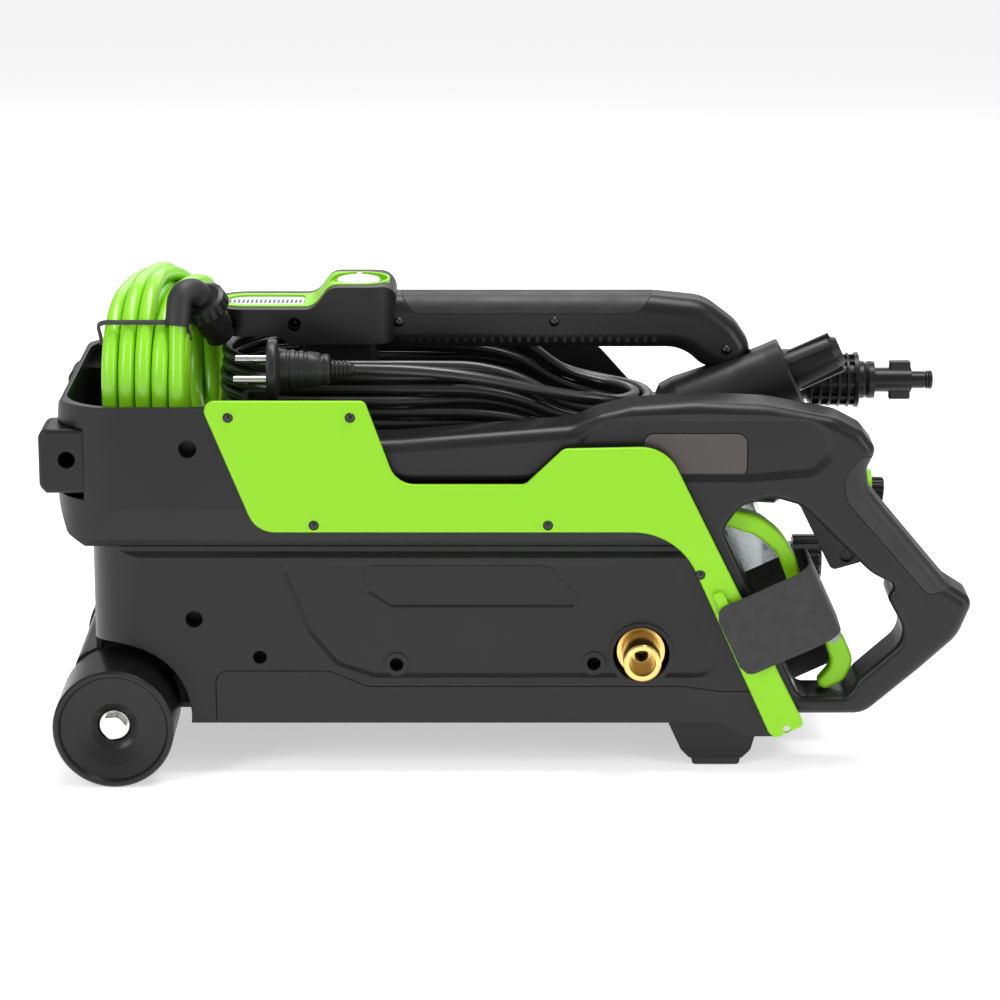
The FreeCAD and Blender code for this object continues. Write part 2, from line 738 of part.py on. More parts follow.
def grip_inlay(gap):
    """The soft insert along the top of the grip."""
    corners = [
        (-62.5 + gap, 268.5, 0),
        (-54 + gap, 257.5 + gap, 5),
        (77 - gap, 257.5 + gap, 5),
        (87 - gap, 268.5, 0),
    ]
    block = side_prism(corners, -30, 30)
    grip = side_prism(GRIP_CORNERS, -HANDLE_HALF, HANDLE_HALF)
    grip = rounded_at(grip, "y", -HANDLE_HALF, 10)
    grip = rounded_at(grip, "y", HANDLE_HALF, 10)
    core = grip.copy()
    inner = side_prism(GRIP_CORNERS, -HANDLE_HALF + 2.5, HANDLE_HALF - 2.5)
    inner = rounded_at(inner, "y", -HANDLE_HALF + 2.5, 8)
    inner = rounded_at(inner, "y", HANDLE_HALF - 2.5, 8)
    inner.translate(vec(0, 0, -2.5))
    return core.cut(inner).common(block)


def add_pod_trim():
    """The green frame round the pod's top, its data plate and the switch's base."""
    window = plan_prism(
        [(-165, -13.6, 12), (-165, 13.6, 12), (-119, 13.6, 4), (-119, -13.6, 4)], 260.8, 290
    )
    well = rod(vec(-87, 0, 255), vec(-87, 0, 290), 15.0)
    recess = rod(vec(-87, 0, 273.2), vec(-87, 0, 290), 17.0)
    add("pod_frame", pod_frame_block(0).cut(window).cut(well).cut(recess))
    plate = plan_prism(
        [(-164.7, -13.3, 11.7), (-164.7, 13.3, 11.7), (-119.3, 13.3, 3.7), (-119.3, -13.3, 3.7)],
        260.9,
        261.8,
    )
    add("pod_label", plate)
    base = rod(vec(-87, 0, 256.2), vec(-87, 0, 269.4), 14.6)
    base = base.cut(rod(vec(-87, 0, 262), vec(-87, 0, 275), 4.05))
    add("switch_base", base)


def add_switch_knob():
    body = turned([(0, 12.2), (4.6, 13.0), (6.0, 12.4), (6.4, 11.2)], vec(-87, 0, 269.6), vec(0, 0, 1))
    for i in range(12):
        angle = math.radians(30 * i)
        x = -87 + 13.1 * math.cos(angle)
        y = 13.1 * math.sin(angle)
        body = body.cut(rod(vec(x, y, 269), vec(x, y, 273.0), 1.2))
    pointer = box(-88.6, -85.4, -11, 11, 275.0, 277.2)
    pointer = pointer.makeFillet(0.7, pointer.Edges)
    stem = rod(vec(-87, 0, 262.3), vec(-87, 0, 270.5), 4.0)
    add("switch_knob", body.fuse(pointer).fuse(stem))


def add_handle_post():
    post = box(-122, -76, -19, 19, TRAY_FLOOR + 0.05, 240)
    post = post.makeFillet(
        5, [e for e in post.Edges if e.BoundBox.ZMax - e.BoundBox.ZMin > 30]
    )
    hollow = box(-118, -80, -15, 15, TRAY_FLOOR + 3, 235)
    solid = post.cut(hollow).cut(side_prism(POD_CORNERS, -POD_HALF, POD_HALF))
    solid = solid.cut(side_prism(GRIP_CORNERS, -HANDLE_HALF, HANDLE_HALF))
    add("handle_post", solid)


# ---- nozzle holster and the nozzles it holds ----
TRUMPET_TILT = math.radians(24.5)
TRUMPET_DIRECTION = vec(math.cos(TRUMPET_TILT), 0, math.sin(TRUMPET_TILT))
TRUMPET_MOUTH = vec(168.7, -12, 221.9)
FAN_RADIUS = 12.6
TURBO_Y = 29.0
TURBO_Z = 207.5
TURBO_BASE_X = 181.5


def along_trumpet(distance):
    """A point on the trumpet's axis, measured back from its mouth."""
    return TRUMPET_MOUTH - TRUMPET_DIRECTION * distance


def add_holster():
    trumpet = turned(
        [(0, 22), (4, 25.5), (12, 26), (48, 22.6), (68, 21.6), (76.8, 21.6), (78, 20.6)],
        along_trumpet(78),
        TRUMPET_DIRECTION,
    )
    socket = rod(along_trumpet(62), along_trumpet(-2), FAN_RADIUS + 4.2)
    tower = side_prism(
        [(96, 163, 0), (96, 192, 4), (112, 200, 6), (156, 204, 6), (160, 192, 6), (142, 163, 6)], -34, 48
    )
    turbo_cup = rod(vec(130, TURBO_Y, TURBO_Z), vec(176, TURBO_Y, TURBO_Z), 18.5)
    turbo_hole = rod(vec(136, TURBO_Y, TURBO_Z), vec(190, TURBO_Y, TURBO_Z), 12.6)
    body = trumpet.fuse(tower).fuse(turbo_cup).cut(socket).cut(turbo_hole)
    body = body.cut(side_prism(GRIP_CORNERS, -HANDLE_HALF - 0.2, HANDLE_HALF + 0.2))
    body = body.cut(tray_block(0))
    add("nozzle_holster", max(body.Solids, key=lambda s: s.Volume))


def add_fan_nozzle():
    start = along_trumpet(58)
    profile = [(0, 8), (2, 9), (40, 9), (44, FAN_RADIUS), (60, FAN_RADIUS), (85, 11.4), (90, 8.0)]
    body = turned(profile, start, TRUMPET_DIRECTION)
    slot_end = along_trumpet(-34)
    bore = rod(slot_end, along_trumpet(-16), 5.5)
    body = body.cut(bore)
    for i in range(8):
        turn = 45 * i + 10
        rib = box(0, 27, -0.8, 0.8, 9.4, FAN_RADIUS + 0.5)
        rib.rotate(vec(0, 0, 0), vec(1, 0, 0), turn)
        frame_turn = FreeCAD.Rotation(vec(1, 0, 0), TRUMPET_DIRECTION)
        rib.Placement = FreeCAD.Placement(along_trumpet(-2), frame_turn).multiply(rib.Placement)
        body = body.fuse(rib)
    add("fan_nozzle", body)


def add_turbo_nozzle():
    base = vec(TURBO_BASE_X, TURBO_Y, TURBO_Z)
    ahead = vec(1, 0, 0)
    profile = [
        (-40, 9), (-38, 12), (0, 12), (0, 13.2), (28, 13.6), (28, 16.4), (30.4, 16.8), (31, 15.6),
        (31, 11.4), (34, 11.4), (35, 10.4), (37, 11.4), (40.5, 11.2), (40.5, 7.4), (63, 7.4), (63, 5.2),
        (71, 5.2), (71, 4.5), (71.5, 4.5), (71.9, 5.6), (72.9, 5.6), (73.3, 4.9), (73.8, 5.7), (75.4, 5.5),
        (75.9, 4.3),
    ]
    body = turned(profile, base, ahead)
    for i in range(5):
        hoop_start = base + vec(1 + 5.6 * i, 0, 0)
        body = body.fuse(rod(hoop_start, hoop_start + vec(1.5, 0, 0), 15.4 + 0.25 * i))
    for i in range(12):
        rib = box(1, 29, -0.9, 0.9, 12.5, 15.6)
        rib.rotate(vec(0, 0, 0), vec(1, 0, 0), 30 * i)
        rib.translate(base)
        body = body.fuse(rib)
    wings = box(49.5, 62.5, -3.2, 3.2, -11.6, 11.6)
    wings = wings.makeFillet(1.2, wings.Edges)
    wings.translate(base)
    body = body.fuse(wings)
    bore = rod(base + vec(60, 0, 0), base + vec(80, 0, 0), 2.2)
    add("turbo_nozzle", body.cut(bore))


# ---- foam bottle on the right end ----
def lean_prism(along_low, along_high, out_low, out_high, y_low, y_high, radius):
    """A box whose length follows the leaning right end, rounded round its long edges."""
    length = along_high - along_low
    block = box(out_low, out_high, y_low, y_high, 0, length)
    if radius:
        block = block.makeFillet(
            radius, [e for e in block.Edges if e.BoundBox.ZMax - e.BoundBox.ZMin > length / 2]
        )
    angle = math.degrees(math.atan(SLOPE))
    block.rotate(vec(0, 0, 0), vec(0, 1, 0), -angle)
    block.translate(vec(leaning(END_TOP, along_low), 0, along_low))
    return block


def add_foam_bottle():
    cap_z = 103.0
    cap_x = leaning(END_TOP, cap_z) + 33
    bottle = lean_prism(52, 156, 2.5, 29, -30, 44, 9)
    neck = rod(vec(cap_x - 11, 4, cap_z), vec(cap_x + 9, 4, cap_z), 10)
    inside = lean_prism(54.5, 153.5, 5, 26.5, -27.5, 41.5, 6.5)
    add("foam_bottle", bottle.cut(inside).fuse(neck))
    cap = turned([(0, 14.2), (15, 14.2), (17, 12.4)], vec(cap_x + 6, 4, cap_z), vec(1, 0, 0))
    for i in range(14):
        angle = 2 * math.pi * i / 14
        y = 4 + 14.6 * math.cos(angle)
        z = cap_z + 14.6 * math.sin(angle)
        cap = cap.cut(rod(vec(cap_x + 4, y, z), vec(cap_x + 30, y, z), 1.5))
    socket = rod(vec(cap_x + 3, 4, cap_z), vec(cap_x + 9.05, 4, cap_z), 10.05)
    add("foam_cap", cap.cut(socket))
    cradle = lean_prism(36, 74, 0.2, 36, -36, 50, 6)
    cradle = cradle.cut(lean_prism(47, 90, 2.1, 60, -30.3, 44.3, 0))
    way_out = box(leaning(END_TOP, 52) + 2.1, 300, -30.3, 44.3, 52.4, 100)
    add("foam_cradle", cradle.cut(way_out).cut(box(100, 300, -60, 60, 0, 33)))


def add_foam_head():
    """The sprayer head that lies above the bottle, with its green tip past the grip."""
    base = vec(138, 6, 149)
    ahead = vec(1, 0, -0.05)
    head = turned([(0, 8), (3, 11), (24, 11), (28, 8), (72, 6), (88, 6)], base, ahead)
    unit = vec(ahead.x, ahead.y, ahead.z).normalize()
    tip_start = base + unit * 74
    tip = turned([(0, 10.6), (5, 12.4), (7, 12.4)], tip_start, unit)
    add("foam_tip", tip.cut(head))
    ring = turned([(7, 8), (14, 8), (15, 7)], tip_start, unit)
    for i in range(16):
        tooth = box(7.5, 17.5, -0.7, 0.7, 7.3, 12)
        tooth.rotate(vec(0, 0, 0), vec(1, 0, 0), 22.5 * i)
        turn = FreeCAD.Rotation(vec(1, 0, 0), unit)
        tooth.Placement = FreeCAD.Placement(tip_start, turn).multiply(tooth.Placement)
        ring = ring.cut(tooth)
    add("foam_head", head.fuse(ring))


# ---- spray gun ----
GUN_CORNERS = [
    (-144, 174, 6),
    (-144, 196, 6),
    (-60, 199.5, 30),
    (38, 207.5, 16),
    (53, 214.2, 16),
    (73, 219.0, 20),
    (110, 221.8, 60),
    (149, 220.0, 60),
    (189, 212.4, 20),
    (204, 204.5, 10),
    (212.5, 193.5, 6),
    (207, 182, 9),
    (208.5, 170, 14),
    (219, 157, 24),
    (255, 114, 12),
    (271.2, 103.6, 7),
    (262.5, 82, 24),
    (241, 62, 24),
    (209, 34.5, 16),
    (160.4, 34.5, 9),
    (108, 148, 10),
    (96, 174, 10),
]
GUARD_CORNERS = [
    (125, 146.5, 9),
    (134.5, 160, 14),
    (152, 166, 20),
    (171, 160.5, 16),
    (188, 143, 30),
    (211, 120.5, 30),
    (225, 113, 3),
    (220.6, 106, 5),
    (233.5, 82, 14),
    (204.5, 56, 8),
    (199, 46, 7),
    (170.5, 46, 7),
]
FACET_CORNERS = [
    (57.6, 211, 3),
    (174, 211, 9),
    (181.5, 203, 5),
    (183.6, 191, 5),
    (175, 183, 8),
    (140, 180, 6),
    (60, 180, 4),
    (42.2, 197, 4),
]
FACET_DEPTH = 1.5
GUN_WALL = 4.0
GUN_EDGE_RADIUS = 7.0
GUARD_EDGE_RADIUS = 4.0
OVERMOULD_CORNERS = [
    (203, 190, 3),
    (193.5, 177, 12),
    (196, 163.5, 14),
    (244, 108, 5),
    (256, 111, 2),
    (290, 130, 0),
    (240, 200, 0),
    (222, 190, 0),
]
WINDOW_CORNERS = [(79, 177.6, 6), (79, 203.6, 6), (138, 203.6, 6), (138, 177.6, 6)]


def gun_block(inset):
    """The gun's outer body, or its hollow when an inset is given."""
    outline = Part.Face(rounded_wire(GUN_CORNERS, lambda p: vec(p.x, 0, p.y)))
    opening = Part.Face(rounded_wire(GUARD_CORNERS, lambda p: vec(p.x, 0, p.y)))
    if inset:
        outline = outline.makeOffset2D(-inset)
        opening = opening.makeOffset2D(inset)
    half = GUN_HALF - inset
    near = GUN_MIDDLE_Y - half
    far = GUN_MIDDLE_Y + half
    outline.translate(vec(0, near, 0))
    block = outline.extrude(vec(0, 2 * half, 0))
    if not inset:
        block = rounded_at(block, "y", near, GUN_EDGE_RADIUS)
        block = rounded_at(block, "y", far, GUN_EDGE_RADIUS)
    opening.translate(vec(0, GUN_MIDDLE_Y - 40, 0))
    block = block.cut(opening.extrude(vec(0, 80, 0)))
    if not inset:
        block = rounded_at(block, "y", near, GUARD_EDGE_RADIUS)
        block = rounded_at(block, "y", far, GUARD_EDGE_RADIUS)
    return block


def add_gun():
    block = gun_block(0)
    hollow = gun_block(GUN_WALL)
    grip_zone = side_prism(OVERMOULD_CORNERS, -110, -40)
    grip_gap = Part.Face(rounded_wire(OVERMOULD_CORNERS, lambda p: vec(p.x, -110, p.y)))
    grip_gap = grip_gap.makeOffset2D(0.3).extrude(vec(0, 70, 0))
    add("grip_overmould", block.common(grip_zone).cut(hollow))
    shells = block.cut(hollow).cut(grip_gap)
    facet_face = GUN_MIDDLE_Y - GUN_HALF
    shells = shells.cut(sunk_panel(FACET_CORNERS, facet_face, FACET_DEPTH, 4.6))
    window = sunk_panel(WINDOW_CORNERS, facet_face + FACET_DEPTH, 1.2, 0.6)
    shells = shells.cut(window)
    pocket = side_prism(
        [(106, 140, 2), (106, 162, 4), (146, 166, 4), (146, 146, 2), (130, 138, 2)],
        GUN_MIDDLE_Y - TRIGGER_HALF - 1,
        GUN_MIDDLE_Y + TRIGGER_HALF + 1,
    )
    pin_hole = rod(
        vec(TRIGGER_PIVOT[0], GUN_MIDDLE_Y - 15, TRIGGER_PIVOT[1]),
        vec(TRIGGER_PIVOT[0], GUN_MIDDLE_Y + 15, TRIGGER_PIVOT[1]),
        2.5,
    )
    ears = rod(
        vec(TRIGGER_PIVOT[0], GUN_MIDDLE_Y - 16.5, TRIGGER_PIVOT[1]),
        vec(TRIGGER_PIVOT[0], GUN_MIDDLE_Y + 16.5, TRIGGER_PIVOT[1]),
        6,
    )
    shells = shells.fuse(ears).cut(pocket).cut(pin_hole)
    web = side_prism(
        [(165, 160, 0), (171.6, 153, 2), (190.5, 114.5, 4), (208.5, 119.8, 3), (206, 134, 0), (190, 152, 0)],
        -64,
        -60,
    )
    web = web.cut(rod(vec(199.4, -70, 123.6), vec(199.4, -61.5, 123.6), 4.0))
    web = web.cut(grip_gap)
    shells = shells.fuse(web)
    bore = rod(vec(-150, GUN_MIDDLE_Y, 186), vec(-134, GUN_MIDDLE_Y, 186), 6.2)
    shells = shells.cut(bore)
    near = shells.common(box(-300, 300, -120, GUN_MIDDLE_Y - 0.05, 0, 300))
    far = shells.common(box(-300, 300, GUN_MIDDLE_Y + 0.05, 0, 0, 300))
    add("gun_shell_near", near)
    add("gun_shell_far", far)
    badge_face = facet_face + FACET_DEPTH
    badge = side_prism(WINDOW_CORNERS, badge_face + 0.25, badge_face + 1.2)
    add("gun_badge", badge)
    pin = rod(
        vec(TRIGGER_PIVOT[0], GUN_MIDDLE_Y - 14.9, TRIGGER_PIVOT[1]),
        vec(TRIGGER_PIVOT[0], GUN_MIDDLE_Y + 14.9, TRIGGER_PIVOT[1]),
        2.45,
    )
    add("trigger_pin", pin)
    tube = rod(vec(-143, GUN_MIDDLE_Y, 186), vec(96, GUN_MIDDLE_Y, 186), 6.0)
    tube = tube.cut(rod(vec(-150, GUN_MIDDLE_Y, 186), vec(90, GUN_MIDDLE_Y, 186), 3.6))
    add("lance_tube", tube)


TRIGGER_CORNERS = [
    (112, 145.5, 4),
    (112, 157.5, 4),
    (124, 157, 8),
    (146, 152.5, 30),
    (160, 141, 30),
    (168, 127, 20),
    (176, 104, 30),
    (183, 87, 6),
    (197, 79, 8),
    (203.5, 64, 12),
    (198, 52, 9),
    (186.5, 46, 4.5),
    (181.5, 50.5, 2.8),
    (190.8, 62, 10),
    (186, 76, 12),
    (174, 88, 12),
    (166, 106, 20),
    (157, 130, 16),
    (145, 140, 24),
    (128, 145.5, 12),
]


def add_trigger():
    blade = side_prism(
        TRIGGER_CORNERS, GUN_MIDDLE_Y - TRIGGER_HALF, GUN_MIDDLE_Y + TRIGGER_HALF
    )
    for level in (GUN_MIDDLE_Y - TRIGGER_HALF, GUN_MIDDLE_Y + TRIGGER_HALF):
        blade = rounded_at(blade, "y", level, 2.7)
    hole = rod(
        vec(TRIGGER_PIVOT[0], -100, TRIGGER_PIVOT[1]), vec(TRIGGER_PIVOT[0], -50, TRIGGER_PIVOT[1]), 2.5
    )
    add("trigger", blade.cut(hole))
    y_face = GUN_MIDDLE_Y - TRIGGER_HALF
    x, z = TRIGGER_LOCK
    lock = rod(vec(x, y_face - 2.6, z), vec(x, y_face - 0.1, z), 3.6)
    tab = side_prism(
        [(x - 2.6, z, 1), (x - 2.8, z + 5.4, 2), (x + 1.4, z + 5.8, 2), (x + 3, z, 1)],
        y_face - 2.6,
        y_face - 0.1,
    )
    add("trigger_lock", lock.fuse(tab))


def add_band():
    """The hook-and-loop band: a flat loop round the strap, the guard and the trigger."""
    across = vec(1, 0, SLOPE).normalize()
    down = vec(SLOPE, 0, -1).normalize()
    width = 44.5
    corner = vec(120.5, 0, 101.8)
    front = -HALF_WIDTH - COVER_THICK - 4.4
    back = GUN_MIDDLE_Y + GUN_HALF + 1.6
    reach = 61.0

    def spot(out, y):
        return corner + across * out + vec(0, y, 0)

    outer = [(-1, front, 0), (reach, front, 14), (reach, back + 1.4, 8), (14, back + 1.4, 0), (14, back, 0)]
    inner = [(reach - 1.4, back, 6.6), (reach - 1.4, front + 1.4, 12.6), (-1, front + 1.4, 0)]
    wire = rounded_wire(outer + inner, lambda p: spot(p.x, p.y))
    band = Part.Face(wire).extrude(down * width)
    add("retaining_band", band)


# ---- motor and pump ----
def gear(teeth, module, width, start, bore_radius, turn):
    """A spur gear with its axis along X."""
    pitch = teeth * module / 2
    root = pitch - 1.25 * module
    tip = pitch + 0.85 * module
    wheel_solid = rod(start, start + vec(width, 0, 0), root)
    for i in range(teeth):
        centre = 2 * math.pi * i / teeth + turn
        half_low = 0.36 * math.pi / teeth * 1.5
        half_high = 0.20 * math.pi / teeth * 1.3
        points = []
        for radius, angle in (
            (root - 0.4, -half_low),
            (tip, -half_high),
            (tip, half_high),
            (root - 0.4, half_low),
        ):
            y = radius * math.cos(centre + angle)
            z = radius * math.sin(centre + angle)
            points.append(start + vec(0, y, z))
        tooth = Part.Face(Part.makePolygon(points + [points[0]])).extrude(vec(width, 0, 0))
        wheel_solid = wheel_solid.fuse(tooth)
    bore = rod(start - vec(1, 0, 0), start + vec(width + 1, 0, 0), bore_radius)
    return wheel_solid.cut(bore)


def add_drive():
    axis = vec(1, 0, 0)
    left = vec(MOTOR_X[0], 0, MOTOR_Z)
    length = MOTOR_X[1] - MOTOR_X[0]
    can = turned([(0, 36), (4, MOTOR_RADIUS), (length - 4, MOTOR_RADIUS), (length, 38)], left, axis)
    can = can.cut(rod(left + vec(4, 0, 0), left + vec(length - 4, 0, 0), MOTOR_RADIUS - 3))
    can = can.cut(rod(left - vec(5, 0, 0), left + vec(length + 5, 0, 0), 11.0))
    for x in (4, length - 14):
        seat = rod(left + vec(x, 0, 0), left + vec(x + 10, 0, 0), 19.0)
        seat = seat.cut(rod(left + vec(x - 1, 0, 0), left + vec(x + 11, 0, 0), 16.0))
        can = can.fuse(seat)
    magnets = rod(left + vec(14, 0, 0), left + vec(length - 14, 0, 0), MOTOR_RADIUS - 3)
    magnets = magnets.cut(rod(left, left + vec(length, 0, 0), 29.0))
    add("motor_can", can.fuse(magnets))
    bearings = []
    for x in (4.2, length - 12.2):
        ring = rod(left + vec(x, 0, 0), left + vec(x + 8, 0, 0), 16.0)
        bearings.append(ring.cut(rod(left, left + vec(length, 0, 0), SHAFT_RADIUS + 0.05)))
    add("motor_bearings", Part.makeCompound(bearings))
    shaft = rod(left - vec(26, 0, 0), left + vec(length + 22, 0, 0), SHAFT_RADIUS)
    rotor = rod(left + vec(18, 0, 0), left + vec(length - 18, 0, 0), 27.5)
    for i in range(12):
        angle = 2 * math.pi * i / 12
        y = 25.5 * math.cos(angle)
        z = 25.5 * math.sin(angle)
        start = left + vec(17, y, z)
        rotor = rotor.cut(rod(start, start + vec(length - 30, 0, 0), 3.0))
    add("rotor", rotor.fuse(shaft))
    hub = rod(left - vec(22, 0, 0), left - vec(6, 0, 0), 9)
    for i in range(9):
        blade = box(0, 14, -0.9, 0.9, 8, 33)
        blade.rotate(vec(0, 0, 0), vec(0, 0, 1), 24)
        blade.rotate(vec(0, 0, 0), vec(1, 0, 0), 40 * i)
        blade.translate(left - vec(21, 0, 0))
        hub = hub.fuse(blade)
    hub = hub.cut(rod(left - vec(30, 0, 0), left, SHAFT_RADIUS))
    add("cooling_fan", hub)
    right = vec(MOTOR_X[1], 0, MOTOR_Z)
    pinion = gear(PINION_TEETH, GEAR_MODULE, 12, right + vec(10, 0, 0), SHAFT_RADIUS, 0)
    add("drive_pinion", pinion)
    distance = GEAR_MODULE * (PINION_TEETH + GEAR_TEETH) / 2
    gear_start = vec(MOTOR_X[1] + 10, distance, MOTOR_Z)
    big_turn = math.pi + math.pi / GEAR_TEETH
    big = gear(GEAR_TEETH, GEAR_MODULE, 12, gear_start, SHAFT_RADIUS + 1, big_turn)
    add("reduction_gear", big)
    add_pump(vec(MOTOR_X[1] + 22, distance, MOTOR_Z))


def add_pump(start):
    """The swash-plate pump, driven by the reduction gear, along X from start."""
    shaft = rod(start - vec(20, 0, 0), start + vec(26, 0, 0), SHAFT_RADIUS + 1)
    plate = rod(start + vec(4, 0, 0), start + vec(22, 0, 0), 22)
    cutter = box(0, 40, -60, 60, -60, 60)
    cutter.rotate(vec(0, 0, 0), vec(0, 0, 1), 10)
    cutter.translate(start + vec(14, 0, 0))
    add("swash_shaft", plate.cut(cutter).fuse(shaft))
    case = rod(start + vec(0.5, 0, 0), start + vec(46, 0, 0), 30)
    case = case.cut(rod(start - vec(1, 0, 0), start + vec(40, 0, 0), 26))
    pistons = []
    head = rod(start + vec(46.2, 0, 0), start + vec(86, 0, 0), 28)
    for i in range(3):
        angle = 2 * math.pi * i / 3
        y = 14 * math.cos(angle)
        z = 14 * math.sin(angle)
        piston_start = start + vec(27.5, y, z)
        pistons.append(rod(piston_start, piston_start + vec(34, 0, 0), 4.5))
        hole = rod(piston_start + vec(5, 0, 0), piston_start + vec(40, 0, 0), 4.55)
        case = case.cut(hole)
        head = head.cut(hole)
    add("pump_case", case)
    add("pistons", Part.makeCompound(pistons))
    manifold = rod(start + vec(85, 0, 0), start + vec(122, 0, 0), 16)
    head = head.fuse(manifold)
    for sign in (-1, 1):
        port_side = vec(OUTLET[0], sign * 75.9, OUTLET[1])
        pump_side = vec(OUTLET[0], start.y + sign * 10, OUTLET[1])
        head = head.fuse(rod(port_side, pump_side, 5.5))
        head = head.cut(rod(port_side, pump_side, 3))
    add("pump_head", head)


# ---- hose coil in the tray ----
HOSE_X = (-233.0, -184.5)
HOSE_TURN = -5.5  # the wound ring is turned so far about the vertical, in degrees
HOSE_SLEEVE = [(-188.6, -70, 262), (-187.2, -66, 280), (-178.5, -56, 281), (-174, -49, 269)]


def add_hose():
    outer = front_prism([(-82, 168, 56), (-82, 286, 56), (64, 286, 56), (64, 168, 56)], *HOSE_X)
    inner = front_prism([(-52, 198, 27), (-52, 256, 27), (34, 256, 27), (34, 198, 27)], -260, -150)
    ring = outer.cut(inner)
    ring.rotate(vec(HOSE_X[0], -82, 0), vec(0, 0, 1), HOSE_TURN)
    sleeve = cord_tube(HOSE_SLEEVE, 7.0)
    end = vec(*HOSE_SLEEVE[-1])
    nut_direction = (end - vec(*HOSE_SLEEVE[-2])).normalize()
    nut_start = end + nut_direction * 0.05
    nut = turned(
        [(-7, 11), (-6, 13.6), (1, 14.4), (2.5, 13), (2.5, 10), (16, 10), (17, 8.6), (24, 8.6)],
        nut_start,
        nut_direction,
    )
    for i in range(18):
        tooth = box(-8, 3, -0.9, 0.9, 13.4, 17)
        tooth.rotate(vec(0, 0, 0), vec(1, 0, 0), 20 * i)
        turn = FreeCAD.Rotation(vec(1, 0, 0), nut_direction)
        tooth.Placement = FreeCAD.Placement(nut_start, turn).multiply(tooth.Placement)
        nut = nut.cut(tooth)
    nut = nut.cut(cord_tube(HOSE_SLEEVE, 7.05))
    nut_room = rod(nut_start - nut_direction * 7.5, nut_start + nut_direction * 25, 15.0)
    add("hose_coil", ring.cut(cord_tube(HOSE_SLEEVE, 7.3)).cut(nut_room))
    add("hose_sleeve", sleeve)
    add("hose_nut", nut)


# ---- power cable in the tray ----
CABLE_TAIL = [(-87.4, -66, 235.5), (-45, -65, 234), (0, -58, 226.5), (37, -49, 216)]


def cord_tube(route, radius):
    """A round tube of straight runs joined by tangent arcs, along a route of points."""
    points = [vec(*point) for point in route]
    edges = []
    start = points[0]
    for before, corner, after in zip(points, points[1:], points[2:]):
        back = (before - corner).normalize()
        ahead = (after - corner).normalize()
        half_turn = (math.pi - back.getAngle(ahead)) / 2
        reach = 0.45 * min(before.distanceToPoint(corner), corner.distanceToPoint(after))
        arc_radius = reach / math.tan(half_turn)
        bisector = (back + ahead).normalize()
        middle = corner + bisector * (arc_radius / math.cos(half_turn) - arc_radius)
        edges.append(Part.LineSegment(start, corner + back * reach).toShape())
        arc = Part.Arc(corner + back * reach, middle, corner + ahead * reach)
        edges.append(arc.toShape())
        start = corner + ahead * reach
        print("cord radius", round(arc_radius, 1))
    edges.append(Part.LineSegment(start, points[-1]).toShape())
    path = Part.Wire(edges)
    section = Part.Wire([Part.makeCircle(radius, points[0], points[1] - points[0])])
    tube = path.makePipeShell([section], True, False)
    print("cord volume share", round(tube.Volume / (math.pi * radius**2 * path.Length), 4))
    return tube


def add_cable():
    """The wound cable: ten turns that lie lower towards the right end."""
    ring = plan_prism([(-175, -48, 38), (-175, 48, 38), (87, 48, 38), (87, -48, 38)], 150, 260)
    hole = plan_prism([(-159, -33, 24), (-159, 33, 24), (74, 33, 24), (74, -33, 24)], 150, 260)
    side = [
        (-190, 172, 0),
        (-190, 243.5, 0),
        (-100, 243.5, 40),
        (-20, 228, 40),
        (60, 212, 40),
        (100, 212, 0),
        (100, 193, 0),
        (79, 191, 4),
        (74, 172, 4),
    ]
    add("cable_coil", ring.cut(hole).common(side_prism(side, -60, 60)))
    add("cable_tail", cord_tube(CABLE_TAIL, CABLE_DIAMETER / 2))
    gland = rod(vec(40, 40, TRAY_FLOOR + 0.05), vec(40, 40, 171.95), 6)
    add("cable_gland", gland)


def add_plug():
    start = vec(-137.5, -66, 235.5)
    axis = vec(1, 0, 0)
    flange = turned([(0, 17.8), (8.5, 17.8), (8.5, 12)], start, axis)
    body = box(8, 34, -9, 9, -10, 10)
    body = body.makeFillet(3, body.Edges)
    body.translate(start)
    plug = flange.fuse(body)
    pins = []
    for sign in (-1, 1):
        centre = start + vec(-19, sign * 8.6, sign * 4.2)
        pins.append(rod(centre, centre + vec(18.95, 0, 0), 2.4))
    add("plug_pins", Part.makeCompound(pins))
    relief = turned([(33.8, 5.6), (50, 4.2)], start, axis)
    add("plug", plug.fuse(relief))


def build_all():
    add_lower_housing()
    add_base_pan()
    add_foot()
    add_tray()
    add_bumpers()
    add_covers()
    add_wheels()
    add_axle_bracket()
    add_ports()
    add_handle()
    add_pod_trim()
    add_switch_knob()
    add_handle_post()
    add_holster()
    add_fan_nozzle()
    add_turbo_nozzle()
    add_foam_bottle()
    add_foam_head()
    add_gun()
    add_trigger()
    add_band()
    add_drive()
    add_hose()
    add_cable()
    add_plug()


build_all()
for node, shape in parts.items():
    if shape.isNull() or not shape.isValid() or shape.Volume < 1:
        print("CHECK", node, shape.isValid(), round(shape.Volume, 1))
    shape.exportStep("parts/" + node + ".step")
print(len(parts), "nodes")
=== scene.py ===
"""Looks of the pressure washer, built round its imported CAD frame."""
import json
import math
import random

import bmesh
import bpy
from mathutils import Matrix, Vector


